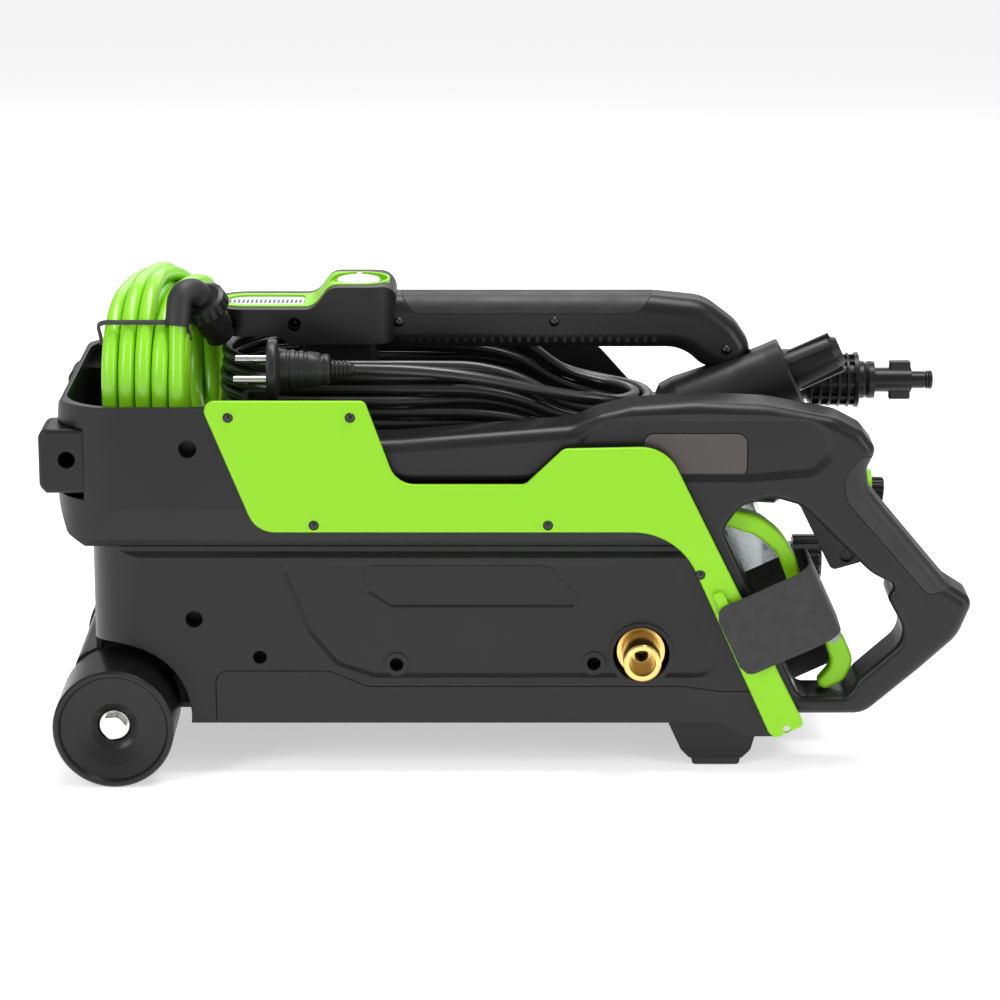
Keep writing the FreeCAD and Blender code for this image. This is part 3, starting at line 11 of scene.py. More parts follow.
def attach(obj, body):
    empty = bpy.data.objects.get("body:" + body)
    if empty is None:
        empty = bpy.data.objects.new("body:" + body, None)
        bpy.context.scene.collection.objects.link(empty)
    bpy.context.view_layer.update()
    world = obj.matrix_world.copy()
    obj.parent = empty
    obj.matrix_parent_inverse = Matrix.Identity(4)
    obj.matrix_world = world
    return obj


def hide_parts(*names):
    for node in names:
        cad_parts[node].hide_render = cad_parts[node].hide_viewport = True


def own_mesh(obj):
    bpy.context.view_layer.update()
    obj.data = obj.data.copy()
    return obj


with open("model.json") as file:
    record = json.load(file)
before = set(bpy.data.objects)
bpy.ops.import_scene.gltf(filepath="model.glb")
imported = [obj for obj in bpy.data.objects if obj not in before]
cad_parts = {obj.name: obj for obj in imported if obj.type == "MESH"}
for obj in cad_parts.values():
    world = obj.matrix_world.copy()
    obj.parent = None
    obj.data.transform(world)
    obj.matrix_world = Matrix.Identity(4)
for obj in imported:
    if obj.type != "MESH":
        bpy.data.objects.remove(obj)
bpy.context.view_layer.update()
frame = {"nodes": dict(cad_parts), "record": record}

NODES = frame["nodes"]
MM = 0.001


# ---- camera ----
CAMERA_TARGET = Vector((-0.0035, 0.0, 0.140))
CAMERA_DISTANCE = 2.157
CAMERA_ELEVATION = math.radians(15)
CAMERA_LENS = 129.24


def add_camera():
    """The camera stands straight in front of the near side, a little above it."""
    data = bpy.data.cameras.new("camera")
    data.lens = CAMERA_LENS
    data.sensor_width = 36.0
    camera = bpy.data.objects.new("camera", data)
    bpy.context.scene.collection.objects.link(camera)
    back = Vector((0.0, -math.cos(CAMERA_ELEVATION), math.sin(CAMERA_ELEVATION)))
    camera.location = CAMERA_TARGET + back * CAMERA_DISTANCE
    camera.rotation_euler = (-back).to_track_quat("-Z", "Y").to_euler()
    bpy.context.scene.camera = camera


# ---- cords ----
HOSE_DIAMETER = 9.5 * MM
HOSE_COLUMNS = 5
HOSE_LAYERS = 3
HOSE_LEFT = -228.0 * MM
HOSE_PITCH = 9.7 * MM
HOSE_MIDDLE = (-9.0 * MM, 227.0 * MM)
HOSE_HALF = (68.2 * MM, 54.2 * MM)
HOSE_STEPS = 24
HOSE_PIVOT = (-233.0 * MM, -82.0 * MM)
HOSE_TURN = math.radians(-5.5)
HOSE_TOP_DROP = (8.5, 2.5, 0.0, 10.0, 8.0)  # mm that each column's top lies below the highest
HOSE_SHIFT_START = 0.48  # share of a turn where the outer layer moves to its next column
HOSE_SHIFT_STEP = 0.085  # how much later each next layer or climb moves, to keep out of the way
HOSE_SHIFT_LENGTH = 0.17
HOSE_LAST_TURN = 0.30  # share of the last turn before the sleeve
CABLE_DIAMETER = 6.8 * MM
CABLE_EXIT = (0.040, 0.0425, 0.1722)
CABLE_TURNS = 9
CABLE_MIDDLE = -42.6 * MM
CABLE_HALF = (129.0 * MM, 44.6 * MM)
CABLE_STEPS = 24
CABLE_FLOOR = 176.5 * MM
CABLE_LEFT_RISE = 7.0 * MM
CABLE_RIGHT_RISE = 7.1 * MM
CABLE_COLUMN = 7.3 * MM
CABLE_FIRST = -0.335  # where the winding starts, in turns
CABLE_LAST = CABLE_TURNS - 1 + 0.80  # and where it ends
CABLE_LEAD = 4.0 * MM  # how far below the first turn the grommet lies
CABLE_SLACK = 5.0 * MM  # the most that a left bend is pulled in
CABLE_SWAY = 2.4 * MM  # the most that a straight run strays inwards
CABLE_LOW_SHIFTS = {0: 12.0 * MM, 1: 5.0 * MM}  # the tray's sloping end pushes the low levels left


def nurbs_cord(name, points, diameter, material):
    """A round cord along one smooth open spline with these control points."""
    curve = bpy.data.curves.new(name, "CURVE")
    curve.dimensions = "3D"
    curve.bevel_depth = diameter / 2
    curve.bevel_resolution = 5
    curve.resolution_u = 6
    curve.use_fill_caps = True
    spline = curve.splines.new("NURBS")
    spline.points.add(len(points) - 1)
    for target, point in zip(spline.points, points):
        target.co = (point[0], point[1], point[2], 1.0)
    spline.order_u = 3
    spline.use_endpoint_u = True
    cord = bpy.data.objects.new(name, curve)
    bpy.context.scene.collection.objects.link(cord)
    curve.materials.append(material)
    return cord


def ease(value):
    """0 up to 1, smoothly, as the value goes from 0 to 1."""
    value = max(0.0, min(1.0, value))
    return value * value * (3 - 2 * value)


def ring_point(share, half_a, half_b):
    """A point of a ring with two straight runs, from its lower middle, and its outward normal."""
    run = half_a - half_b
    bend = math.pi * half_b
    along = (share % 1.0) * (4 * run + 2 * bend)
    if along < run:
        return -along, -half_b, 0.0, -1.0
    along -= run
    if along < bend:
        angle = along / half_b
        side = math.sin(angle)
        up = -math.cos(angle)
        return -run - half_b * side, half_b * up, -side, up
    along -= bend
    if along < 2 * run:
        return along - run, half_b, 0.0, 1.0
    along -= 2 * run
    if along < bend:
        angle = along / half_b
        side = math.sin(angle)
        up = math.cos(angle)
        return run + half_b * side, half_b * up, side, up
    along -= bend
    return run - along, -half_b, 0.0, -1.0


def hose_place(x, y, z):
    """A point of the wound hose after the whole ring is turned a little about the vertical."""
    dx = x - HOSE_PIVOT[0]
    dy = y - HOSE_PIVOT[1]
    turned_x = dx * math.cos(HOSE_TURN) - dy * math.sin(HOSE_TURN)
    turned_y = dx * math.sin(HOSE_TURN) + dy * math.cos(HOSE_TURN)
    return (HOSE_PIVOT[0] + turned_x, HOSE_PIVOT[1] + turned_y, z)


def hose_drop(column):
    """How far a column's top lies below the highest one."""
    left = min(int(column), HOSE_COLUMNS - 2)
    share = column - left
    return (HOSE_TOP_DROP[left] * (1 - share) + HOSE_TOP_DROP[left + 1] * share) * MM


def hose_points():
    """The hose wound in a flat ring: the inner layer first, then out, ending at the front."""
    points = []
    for layer in range(HOSE_LAYERS):
        leftwards = layer == 1
        for turn in range(HOSE_COLUMNS):
            column = HOSE_COLUMNS - 1 - turn if leftwards else turn
            closing = turn == HOSE_COLUMNS - 1
            final = closing and layer == HOSE_LAYERS - 1
            steps = int(HOSE_LAST_TURN * HOSE_STEPS) if final else HOSE_STEPS
            order = 2 * (HOSE_LAYERS - 1 - layer)
            for step in range(steps):
                share = step / HOSE_STEPS
                start = HOSE_SHIFT_START + HOSE_SHIFT_STEP * (order - 1 if closing else order)
                moved = ease((share - start) / HOSE_SHIFT_LENGTH)
                across = 0.0 if closing else moved
                climb = moved if closing else 0.0
                at = column + (-across if leftwards else across)
                inward = (HOSE_LAYERS - 1 - layer - climb) * HOSE_PITCH
                y, z, _, _ = ring_point(share, HOSE_HALF[0] - inward, HOSE_HALF[1] - inward)
                if z > 0:
                    z -= hose_drop(at) * (z / HOSE_HALF[1]) ** 2
                x = HOSE_LEFT + at * HOSE_PITCH
                points.append(hose_place(x, HOSE_MIDDLE[0] + y, HOSE_MIDDLE[1] + z))
    return points


def hose_end():
    """The last bit of the hose, rising into its sleeve."""
    return [(-0.1888, -0.0722, 0.2545), (-0.1887, -0.0708, 0.2600), (-0.1884, -0.0690, 0.2650)]


def cable_points():
    """The power cable: out of its grommet, then nine turns in the tray, side by side at the right."""
    random.seed(11)
    points = [CABLE_EXIT]
    count = int((CABLE_LAST - CABLE_FIRST) * CABLE_STEPS)
    slack = [random.uniform(0.0, CABLE_SLACK) for _ in range(CABLE_TURNS + 1)]
    sway = [random.uniform(0.0, CABLE_SWAY) for _ in range(CABLE_TURNS + 1)]
    for step in range(count):
        position = CABLE_FIRST + step / CABLE_STEPS
        turn = math.floor(position)
        share = position - turn
        x, y, normal_x, normal_y = ring_point(share, *CABLE_HALF)
        x += CABLE_MIDDLE
        index = turn + (1 if share > 0.4 else 0)
        wound = turn + ease((share - 0.18) / 0.26)
        side_by_side = ease((x + 0.060) / 0.050)
        settled = ease((x + 0.010) / 0.060)
        inward = (index % 2) * CABLE_COLUMN * side_by_side + sway[index] * (1 - side_by_side)
        low = CABLE_LOW_SHIFTS.get(index // 2, 0.0) * settled
        z_left = wound * CABLE_LEFT_RISE
        z_right = (index // 2) * CABLE_RIGHT_RISE
        lead = CABLE_LEAD * (1 - ease((position - CABLE_FIRST) / 0.08))
        z = CABLE_FLOOR - lead + z_left * (1 - settled) + z_right * settled
        left_end = ease((-x - 0.110) / 0.060)
        place_x = x - normal_x * inward - low + slack[index] * left_end
        place_y = y - normal_y * inward
        points.append((place_x, place_y, z))
    return points


def cable_tail():
    """Off the right bend, along the top of the front runs and up to the plug."""
    return [
        (0.066, -0.0325, 0.2088),
        (0.056, -0.0400, 0.2118),
        (0.042, -0.0455, 0.2145),
        (0.025, -0.0510, 0.2185),
        (0.0, -0.0575, 0.2255),
        (-0.022, -0.0625, 0.2308),
        (-0.045, -0.0650, 0.2340),
        (-0.068, -0.0659, 0.2354),
        (-0.0874, -0.0660, 0.2356),
    ]


def add_cords(finishes):
    """The hose and the power cable, each with the pieces at its end."""
    hose_route = hose_points() + hose_end()
    hose = nurbs_cord("hose", hose_route, HOSE_DIAMETER, finishes["hose_green"].material)
    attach(hose, "chassis")
    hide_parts("hose_coil")
    cable_route = cable_points() + cable_tail()
    cable = nurbs_cord("power_cable", cable_route, CABLE_DIAMETER, finishes["cable_black"].material)
    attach(cable, "chassis")
    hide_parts("cable_coil", "cable_tail")


# ---- finishes ----
class Finish:
    """A shader with its texture nodes. Sizes are in metres on the object itself."""

    def __init__(self, name, colour, roughness, metallic=0.0):
        self.material = bpy.data.materials.new(name)
        self.material.use_nodes = True
        self.tree = self.material.node_tree
        self.shader = self.tree.nodes["Principled BSDF"]
        self.colour = (*colour, 1.0)
        self.set("Base Color", self.colour)
        self.set("Roughness", roughness)
        self.set("Metallic", metallic)
        self.place = self.tree.nodes.new("ShaderNodeTexCoord").outputs["Object"]
        self.normal = None

    def set(self, socket, value):
        self.shader.inputs[socket].default_value = value
        return self

    def link(self, output, target):
        self.tree.links.new(output, target)

    def math(self, operation, first, second=None, clamp=False):
        node = self.tree.nodes.new("ShaderNodeMath")
        node.operation = operation
        node.use_clamp = clamp
        for socket, value in zip(node.inputs, (first, second)):
            if isinstance(value, (int, float)):
                socket.default_value = value
            elif value is not None:
                self.link(value, socket)
        return node.outputs[0]

    def noise(self, size, detail=3.0):
        """Soft noise from 0 to 1 whose lumps are about this size."""
        node = self.tree.nodes.new("ShaderNodeTexNoise")
        node.inputs["Scale"].default_value = 1 / size
        node.inputs["Detail"].default_value = detail
        self.link(self.place, node.inputs["Vector"])
        return node.outputs["Fac"]

    def grains(self, size):
        node = self.tree.nodes.new("ShaderNodeTexVoronoi")
        node.inputs["Scale"].default_value = 1 / size
        self.link(self.place, node.inputs["Vector"])
        return node.outputs["Distance"]

    def spread(self, value, low_in, high_in, low_out, high_out):
        node = self.tree.nodes.new("ShaderNodeMapRange")
        node.inputs["From Min"].default_value = low_in
        node.inputs["From Max"].default_value = high_in
        node.inputs["To Min"].default_value = low_out
        node.inputs["To Max"].default_value = high_out
        self.link(value, node.inputs["Value"])
        return node.outputs[0]

    def rough(self, value, low, high):
        """Roughness that wanders between low and high with a texture."""
        self.link(self.spread(value, 0.3, 0.7, low, high), self.shader.inputs["Roughness"])
        return self

    def tint(self, mask, colour):
        """Blends the colour so far towards another one by a mask."""
        node = self.tree.nodes.new("ShaderNodeMix")
        node.data_type = "RGBA"
        sockets = [s for s in node.inputs if s.type == "RGBA"]
        base = self.shader.inputs["Base Color"]
        if base.is_linked:
            self.link(base.links[0].from_socket, sockets[0])
        else:
            sockets[0].default_value = self.colour
        sockets[1].default_value = (*colour, 1.0)
        self.link(mask, node.inputs[0])
        output = [s for s in node.outputs if s.type == "RGBA"][0]
        self.link(output, base)
        return self

    def bump(self, height, depth, strength=1.0):
        """Relief of a real depth. Several calls add up."""
        node = self.tree.nodes.new("ShaderNodeBump")
        node.inputs["Strength"].default_value = strength
        node.inputs["Distance"].default_value = depth
        self.link(height, node.inputs["Height"])
        if self.normal is not None:
            self.link(self.normal, node.inputs["Normal"])
        self.normal = node.outputs["Normal"]
        self.link(self.normal, self.shader.inputs["Normal"])
        return self

    def soft_edges(self, radius):
        """Rounds the look of edges. It comes before any bump."""
        node = self.tree.nodes.new("ShaderNodeBevel")
        node.samples = 6
        node.inputs["Radius"].default_value = radius
        self.normal = node.outputs["Normal"]
        self.link(self.normal, self.shader.inputs["Normal"])
        return self

    def edge_mask(self, radius, gain):
        """High along worn edges, where the rounded normal leaves the true one."""
        bevel = self.tree.nodes.new("ShaderNodeBevel")
        bevel.samples = 6
        bevel.inputs["Radius"].default_value = radius
        geometry = self.tree.nodes.new("ShaderNodeNewGeometry")
        dot = self.tree.nodes.new("ShaderNodeVectorMath")
        dot.operation = "DOT_PRODUCT"
        self.link(bevel.outputs["Normal"], dot.inputs[0])
        self.link(geometry.outputs["Normal"], dot.inputs[1])
        away = self.math("SUBTRACT", 1.0, dot.outputs["Value"], clamp=True)
        return self.math("MULTIPLY", away, gain, clamp=True)


def moulded(name, colour, roughness, edge=0.6, grain=0.45, depth=0.03, wear=1.0):
    """Moulded plastic with fine spark-eroded grain, faint flow clouds and paler edges."""
    finish = Finish(name, colour, roughness)
    finish.set("Specular IOR Level", 0.32)
    finish.soft_edges(edge * MM)
    cloud = finish.noise(38 * MM, 4.0)
    fine = finish.noise(grain * MM, 2.0)
    finish.rough(cloud, roughness - 0.045, roughness + 0.045)
    finish.bump(fine, depth * MM, 0.5)
    finish.bump(finish.noise(14 * MM, 2.0), 0.05 * MM, 0.35)
    pale = [min(1.0, c * 1.9 + 0.012) for c in colour]
    mask = finish.edge_mask(edge * MM, 1.6 * wear)
    scuff = finish.spread(finish.noise(5 * MM, 5.0), 0.4, 0.75, 0.12, 0.75)
    finish.tint(finish.math("MULTIPLY", mask, scuff, clamp=True), pale)
    return finish


def metal(name, colour, roughness, size=0.4, depth=0.01):
    """Machined or cast metal, dull in patches."""
    finish = Finish(name, colour, roughness, 1.0)
    finish.soft_edges(0.25 * MM)
    lines = finish.noise(size * MM, 2.0)
    finish.bump(lines, depth * MM, 0.6)
    finish.rough(finish.noise(6 * MM, 4.0), roughness * 0.8, roughness * 1.3)
    dull = [c * 0.72 for c in colour]
    finish.tint(finish.spread(finish.noise(9 * MM, 5.0), 0.45, 0.8, 0.0, 0.5), dull)
    return finish


def make_finishes():
    made = {}
    made["shell_black"] = moulded("shell_black", (0.0085, 0.0085, 0.009), 0.36)
    made["gun_black"] = moulded("gun_black", (0.0095, 0.0095, 0.010), 0.37, grain=0.6, depth=0.05)
    made["nozzle_black"] = moulded("nozzle_black", (0.008, 0.008, 0.0085), 0.33, edge=0.4)
    made["wheel_black"] = moulded("wheel_black", (0.0085, 0.0085, 0.009), 0.34, edge=0.5)
    made["plug_black"] = moulded("plug_black", (0.016, 0.016, 0.0165), 0.38, edge=0.4)
    made["inner_plastic"] = moulded("inner_plastic", (0.12, 0.12, 0.12), 0.5)
    made["lock_grey"] = moulded("lock_grey", (0.33, 0.32, 0.38), 0.4, edge=0.3)
    lime = (0.245, 0.60, 0.010)
    made["lime_plastic"] = moulded("lime_plastic", lime, 0.36, edge=0.5, grain=0.5, depth=0.02)
    made["knob_silver"] = moulded("knob_silver", (0.80, 0.80, 0.79), 0.26, edge=0.3)
    made["soft_black"] = rubbery("soft_black", (0.012, 0.012, 0.0125), 0.55)
    made["cable_black"] = sheath("cable_black", (0.011, 0.011, 0.0115), 0.3)
    made["hose_green"] = sheath("hose_green", (0.25, 0.66, 0.014), 0.27)
    made["bright_steel"] = metal("bright_steel", (0.70, 0.69, 0.67), 0.24)
    made["gear_steel"] = metal("gear_steel", (0.52, 0.52, 0.53), 0.35)
    made["motor_steel"] = metal("motor_steel", (0.45, 0.45, 0.46), 0.4)
    made["pump_alloy"] = metal("pump_alloy", (0.60, 0.60, 0.61), 0.45, size=1.2, depth=0.05)
    made["screw_black"] = metal("screw_black", (0.05, 0.05, 0.052), 0.32)
    made["brass"] = metal("brass", (0.80, 0.56, 0.20), 0.2, size=0.5)
    made["bottle_clear"] = bottle()
    made["badge_plate"] = badge()
    made["label_plate"] = label()
    made["band_fabric"] = webbing()
    return made


def rubbery(name, colour, roughness):
    """Soft-touch moulding: matt, with a fine orange-peel skin."""
    finish = Finish(name, colour, roughness)
    finish.soft_edges(0.5 * MM)
    finish.bump(finish.noise(0.7 * MM, 2.0), 0.05 * MM, 0.6)
    finish.rough(finish.noise(20 * MM, 4.0), roughness - 0.07, roughness + 0.07)
    dusty = [c * 1.9 + 0.01 for c in colour]
    finish.tint(finish.spread(finish.noise(12 * MM, 6.0), 0.5, 0.8, 0.0, 0.35), dusty)
    return finish


def sheath(name, colour, roughness):
    """The smooth extruded skin of a cord, with faint handling marks."""
    finish = Finish(name, colour, roughness)
    finish.set("Coat Weight", 0.25)
    finish.set("Coat Roughness", 0.3)
    finish.bump(finish.noise(3 * MM, 3.0), 0.08 * MM, 0.4)
    finish.rough(finish.noise(15 * MM, 4.0), roughness - 0.05, roughness + 0.09)
    dull = [c * 0.86 for c in colour]
    finish.tint(finish.spread(finish.noise(26 * MM, 4.0), 0.4, 0.75, 0.0, 0.6), dull)
    return finish


def bottle():
    """Blown translucent plastic, a little cloudy."""
    finish = Finish("bottle_clear", (0.80, 0.83, 0.84), 0.22)
    finish.set("Transmission Weight", 0.82)
    finish.set("IOR", 1.42)
    finish.bump(finish.noise(9 * MM, 2.0), 0.25 * MM, 0.4)
    finish.rough(finish.noise(12 * MM, 4.0), 0.16, 0.34)
    return finish


def badge():
    """A smooth bronze-grey inlay with no lettering."""
    finish = Finish("badge_plate", (0.052, 0.043, 0.038), 0.3)
    finish.soft_edges(0.3 * MM)
    finish.bump(finish.noise(0.35 * MM, 2.0), 0.015 * MM, 0.5)
    finish.rough(finish.noise(8 * MM, 4.0), 0.25, 0.38)
    return finish


def label():
    """A pale plate with plain bars."""
    finish = Finish("label_plate", (0.62, 0.64, 0.64), 0.35)
    separate = finish.tree.nodes.new("ShaderNodeSeparateXYZ")
    finish.link(finish.place, separate.inputs[0])
    x = separate.outputs["X"]
    y = separate.outputs["Y"]
    stripes = finish.math("SINE", finish.math("MULTIPLY", x, 2 * math.pi / (2.6 * MM)))
    bars = finish.math("GREATER_THAN", stripes, 0.1)
    inside = finish.math("LESS_THAN", finish.math("ABSOLUTE", y), 5 * MM)
    finish.tint(finish.math("MULTIPLY", bars, inside), (0.03, 0.03, 0.03))
    finish.bump(finish.noise(0.5 * MM, 2.0), 0.01 * MM, 0.5)
    return finish


def webbing():
    """Napped hook-and-loop fabric."""
    finish = Finish("band_fabric", (0.024, 0.024, 0.0245), 0.75)
    finish.set("Sheen Weight", 0.25)
    finish.set("Sheen Roughness", 0.4)
    finish.bump(finish.grains(0.55 * MM), 0.16 * MM, 0.7)
    finish.bump(finish.noise(3.5 * MM, 3.0), 0.2 * MM, 0.35)
    finish.rough(finish.noise(7 * MM, 4.0), 0.62, 0.85)
    return finish


# ---- floor and lights ----
FLOOR_HALF = 6.0
FLOOR_DROP = 0.0004  # below the wheels, so that the two faces don't flicker
FLOOR_GLOW = 0.5  # keeps the far floor as pale as the near floor
WORLD_STRENGTH = 0.4


def add_stage():
    """A plain white floor."""
    mesh = bpy.data.meshes.new("floor")
    corners = [(x * FLOOR_HALF, y * FLOOR_HALF, 0) for x, y in ((-1, -1), (1, -1), (1, 1), (-1, 1))]
    mesh.from_pydata(corners, [], [(0, 1, 2, 3)])
    floor = bpy.data.objects.new("floor", mesh)
    bpy.context.scene.collection.objects.link(floor)
    floor.location.z = -FLOOR_DROP
    material = bpy.data.materials.new("floor_white")
    material.use_nodes = True
    shader = material.node_tree.nodes["Principled BSDF"]
    shader.inputs["Base Color"].default_value = (0.93, 0.93, 0.93, 1)
    shader.inputs["Roughness"].default_value = 0.85
    shader.inputs["Emission Color"].default_value = (1, 1, 1, 1)
    shader.inputs["Emission Strength"].default_value = FLOOR_GLOW
    mesh.materials.append(material)


def soft_light(name, location, target, size, power):
    """A rectangular studio light that looks at a target."""
    data = bpy.data.lights.new(name, "AREA")
    data.shape = "RECTANGLE"
    data.size = size[0]
    data.size_y = size[1]
    data.energy = power
    light = bpy.data.objects.new(name, data)
    bpy.context.scene.collection.objects.link(light)
    light.location = location
    light.rotation_euler = (Vector(target) - Vector(location)).to_track_quat("-Z", "Y").to_euler()


def add_lights():
    """An even white surround with a bright top, two front lights and one behind."""
    world = bpy.data.worlds.new("studio")
    bpy.context.scene.world = world
    world.use_nodes = True
    background = world.node_tree.nodes["Background"]
    background.inputs["Color"].default_value = (1, 1, 1, 1)
    background.inputs["Strength"].default_value = WORLD_STRENGTH
    bpy.context.scene.view_settings.view_transform = "Standard"
    soft_light("top", (0.1, 0.1, 1.5), (0, 0, 0.1), (1.3, 0.5), 20)
    soft_light("front_left", (-1.3, -1.3, 1.0), (0, 0, 0.1), (0.5, 1.1), 13)
    soft_light("front_right", (1.5, -0.9, 0.7), (0, 0, 0.1), (0.35, 1.1), 8)
    soft_light("behind", (0.2, 1.8, 1.2), (0, 0, 0.1), (2.0, 0.8), 9)


def dress_nodes(finishes):
    """Gives every CAD node the finish of its own slot in the record."""
    for part in frame["record"]["subparts"]:
        node = NODES[part["node"]]
        node.data.materials.clear()
        node.data.materials.append(finishes[part["material_slot"]].material)


# ---- pieces made as meshes ----
def strip_mesh(name, path, sideways, width, thickness, closed, material, rows=12, round_end=0.0):
    """A flat strap whose middle line starts along a path of points and goes sideways from it."""
    mesh_points = []
    count = len(path)
    along = 0.0
    for i, point in enumerate(path):
        if i:
            along += (point - path[i - 1]).length
        narrow = 0.0
        if round_end and along < round_end:
            narrow = round_end - math.sqrt(max(0.0, round_end**2 - (round_end - along) ** 2))
        for row in range(rows + 1):
            share = row / rows
            mesh_points.append(point + sideways * (narrow + (width - 2 * narrow) * share))
    faces = []
    for i in range(count if closed else count - 1):
        after = (i + 1) % count
        for row in range(rows):
            a = i * (rows + 1) + row
            b = after * (rows + 1) + row
            faces.append((a, b, b + 1, a + 1))
    mesh = bpy.data.meshes.new(name)
    mesh.from_pydata(mesh_points, [], faces)
    mesh.materials.append(material)
    strap = bpy.data.objects.new(name, mesh)
    bpy.context.scene.collection.objects.link(strap)
    thicken = strap.modifiers.new("thickness", "SOLIDIFY")
    thicken.thickness = thickness
    thicken.offset = 0.0
    soften = strap.modifiers.new("edges", "BEVEL")
    soften.width = thickness * 0.35
    soften.segments = 3
    soften.limit_method = "ANGLE"
    for face in mesh.polygons:
        face.use_smooth = True
    return strap


def rounded_path(corners, steps=8):
    """Points along a polyline of (x, y, radius) corners, its corners turned into arcs."""
    points = []
    for i, (x, y, radius) in enumerate(corners):
        here = Vector((x, y))
        if radius == 0 or i in (0, len(corners) - 1):
            points.append(here)
            continue
        before = Vector(corners[i - 1][:2])
        after = Vector(corners[i + 1][:2])
        back = (before - here).normalized()
        ahead = (after - here).normalized()
        half = math.acos(max(-1.0, min(1.0, back.dot(ahead)))) / 2
        reach = radius / math.tan(half)
        centre = here + (back + ahead).normalized() * (radius / math.sin(half))
        start = here + back * reach - centre
        turn = start.angle_signed(here + ahead * reach - centre)
        for step in range(steps + 1):
            points.append(centre + Matrix.Rotation(-turn * step / steps, 2) @ start)
    return points


def spaced(points, gap):
    """The same path with points at most a gap apart."""
    result = [points[0]]
    for point in points[1:]:
        span = point - result[-1]
        pieces = max(1, math.ceil(span.length / gap))
        base = result[-1]
        for piece in range(1, pieces + 1):
            result.append(base + span * (piece / pieces))
    return result


BAND_SLOPE = 0.46
BAND_CORNER = Vector((0.1205, 0.0, 0.1018))
BAND_WIDTH = 44.5 * MM
BAND_REACH = 60.3 * MM
BAND_FRONT = -103.3 * MM
BAND_BACK = -54.7 * MM
BAND_THICK = 1.4 * MM
BAND_END_RADIUS = 7 * MM  # at the corners of its free end
BAND_WAVES = (210, 170)  # radians per metre along X and along Z
BAND_WAVE_DEPTH = 0.45 * MM


def add_band(finishes):
    """The hook-and-loop band round the gun's guard, with a rounded end lapping at the front."""
    across = Vector((1.0, 0.0, BAND_SLOPE)).normalized()
    down = Vector((BAND_SLOPE, 0.0, -1.0)).normalized()
    corners = [
        (-1 * MM, BAND_FRONT, 0),
        (BAND_REACH, BAND_FRONT, 12.5 * MM),
        (BAND_REACH, BAND_BACK, 7 * MM),
        (14 * MM, BAND_BACK, 0),
    ]
    path = []
    for point in spaced(rounded_path(corners), 2.5 * MM):
        path.append(BAND_CORNER + across * point.x + Vector((0, point.y, 0)))
    finish = finishes["band_fabric"].material
    band = strip_mesh("band_strap", path, down, BAND_WIDTH, BAND_THICK, False, finish, 18, BAND_END_RADIUS)
    for vertex in band.data.vertices:
        wave = math.sin(vertex.co.x * BAND_WAVES[0]) * math.sin(vertex.co.z * BAND_WAVES[1] + 1.3)
        vertex.co.y += wave * BAND_WAVE_DEPTH
    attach(band, "chassis")
    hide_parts("retaining_band")
    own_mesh(band)


TIE_ANGLE = math.radians(38)
TIE_CENTRE = (-23.0 * MM, 227.0 * MM)
TIE_INNER = 29.0 * MM
TIE_OUTER = 60.6 * MM
TIE_SIDES = (-234.2 * MM, -182.6 * MM)
TIE_WIDTH = 2.6 * MM
TIE_THICK = 1.9 * MM


def add_hose_tie(finishes):
    """The strap that holds the wound hose together near the top of its front."""
    outward = Vector((0.0, -math.cos(TIE_ANGLE), math.sin(TIE_ANGLE)))
    sideways = Vector((0.0, math.sin(TIE_ANGLE), math.cos(TIE_ANGLE)))
    left, right = TIE_SIDES
    middle = (left + right) / 2
    corners = [
        (middle, TIE_INNER, 0),
        (right, TIE_INNER, 6 * MM),
        (right, TIE_OUTER, 6 * MM),
        (left, TIE_OUTER, 6 * MM),
        (left, TIE_INNER, 6 * MM),
        (middle, TIE_INNER, 0),
    ]
    centre = Vector((0.0, *TIE_CENTRE)) - sideways * (TIE_WIDTH / 2)
    path = []
    for point in spaced(rounded_path(corners), 3 * MM)[:-1]:
        path.append(centre + Vector((point.x, 0, 0)) + outward * point.y)
    finish = finishes["band_fabric"].material
    tie = strip_mesh("hose_tie", path, sideways, TIE_WIDTH, TIE_THICK, True, finish, 6)
    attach(tie, "chassis")


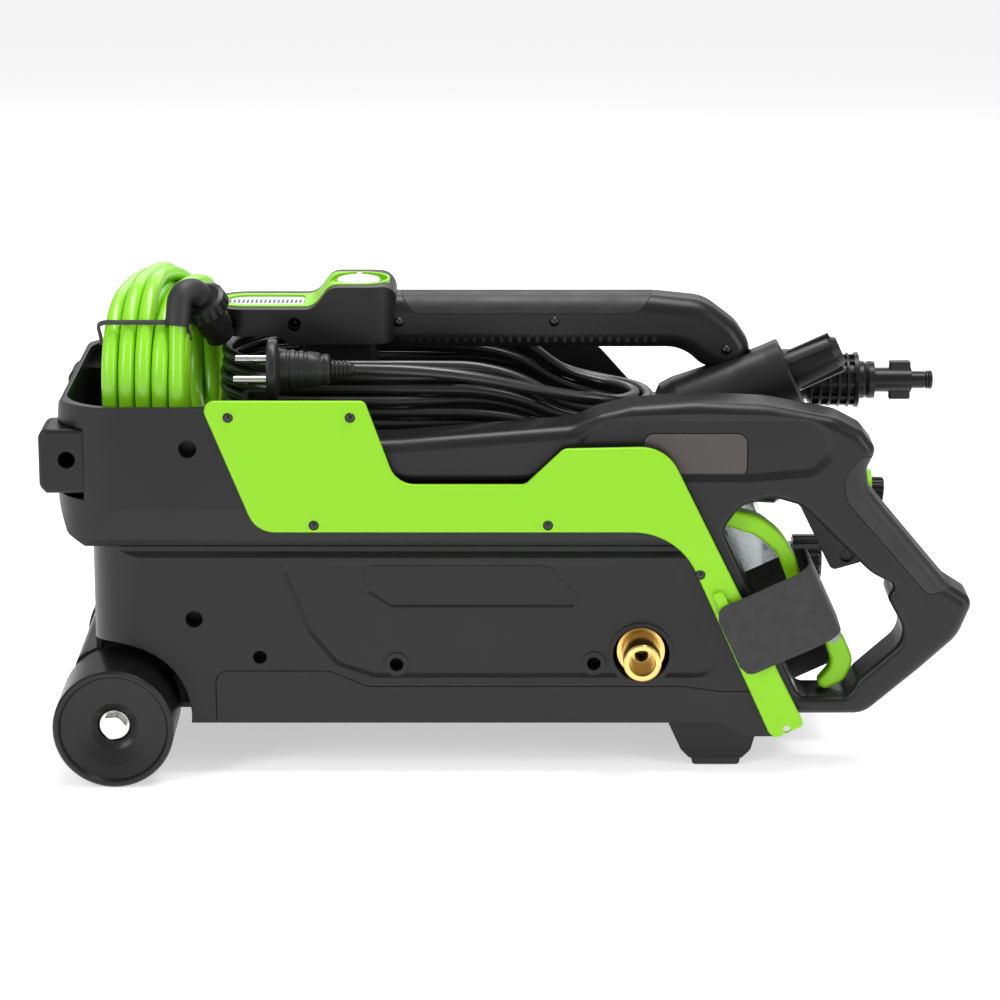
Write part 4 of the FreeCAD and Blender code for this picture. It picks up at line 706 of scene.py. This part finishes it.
PLUG_START = Vector((-0.1375, -0.066, 0.2355))
PLUG_PROFILE = [
    (0.0, 0.0), (0.0, 16.6), (0.6, 17.5), (1.6, 17.8), (4.4, 17.8), (5.4, 17.4), (6.0, 16.4),
    (6.6, 13.2), (8.0, 12.2), (11.0, 11.9), (11.5, 11.2), (13.0, 11.2), (13.5, 11.7), (16.0, 11.4),
    (16.5, 10.7), (18.0, 10.7), (18.5, 11.2), (21.0, 10.9), (21.5, 10.2), (23.0, 10.2), (23.5, 10.7),
    (30.0, 10.0), (31.0, 9.0), (32.0, 8.8), (33.0, 9.2), (35.0, 9.2), (36.0, 8.4), (36.4, 6.2),
]
RELIEF_RINGS = 5


def add_plug(finishes):
    """The two-pin plug: a thin round face, a ribbed grip, a collar and a ringed strain relief."""
    profile = list(PLUG_PROFILE)
    for ring in range(RELIEF_RINGS):
        at = 37.2 + ring * 2.4
        radius = 5.8 - ring * 0.3
        profile += [(at - 0.3, radius - 0.9), (at, radius), (at + 1.1, radius), (at + 1.4, radius - 0.9)]
    profile += [(49.6, 4.1), (50.0, 3.4)]
    mesh = bpy.data.meshes.new("plug_body")
    builder = bmesh.new()
    around = 56
    rings = []
    for x, radius in profile:
        ring = []
        for i in range(around):
            angle = 2 * math.pi * i / around
            flat = 0.86 if 7 < x < 36.2 else 1.0
            y = math.cos(angle) * radius * flat * MM
            z = math.sin(angle) * radius * MM
            ring.append(builder.verts.new(PLUG_START + Vector((x * MM, y, z))))
        rings.append(ring)
    for first, second in zip(rings, rings[1:]):
        for i in range(around):
            after = (i + 1) % around
            builder.faces.new((first[i], first[after], second[after], second[i]))
    bmesh.ops.remove_doubles(builder, verts=builder.verts, dist=1e-6)
    bmesh.ops.recalc_face_normals(builder, faces=builder.faces)
    builder.to_mesh(mesh)
    builder.free()
    mesh.materials.append(finishes["plug_black"].material)
    plug = bpy.data.objects.new("plug_body", mesh)
    bpy.context.scene.collection.objects.link(plug)
    for face in mesh.polygons:
        face.use_smooth = True
    mesh.set_sharp_from_angle(angle=math.radians(38))
    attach(plug, "chassis")
    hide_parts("plug")


def main():
    add_camera()
    finishes = make_finishes()
    add_band(finishes)
    add_hose_tie(finishes)
    add_plug(finishes)
    add_cords(finishes)
    dress_nodes(finishes)
    add_stage()
    add_lights()


main()
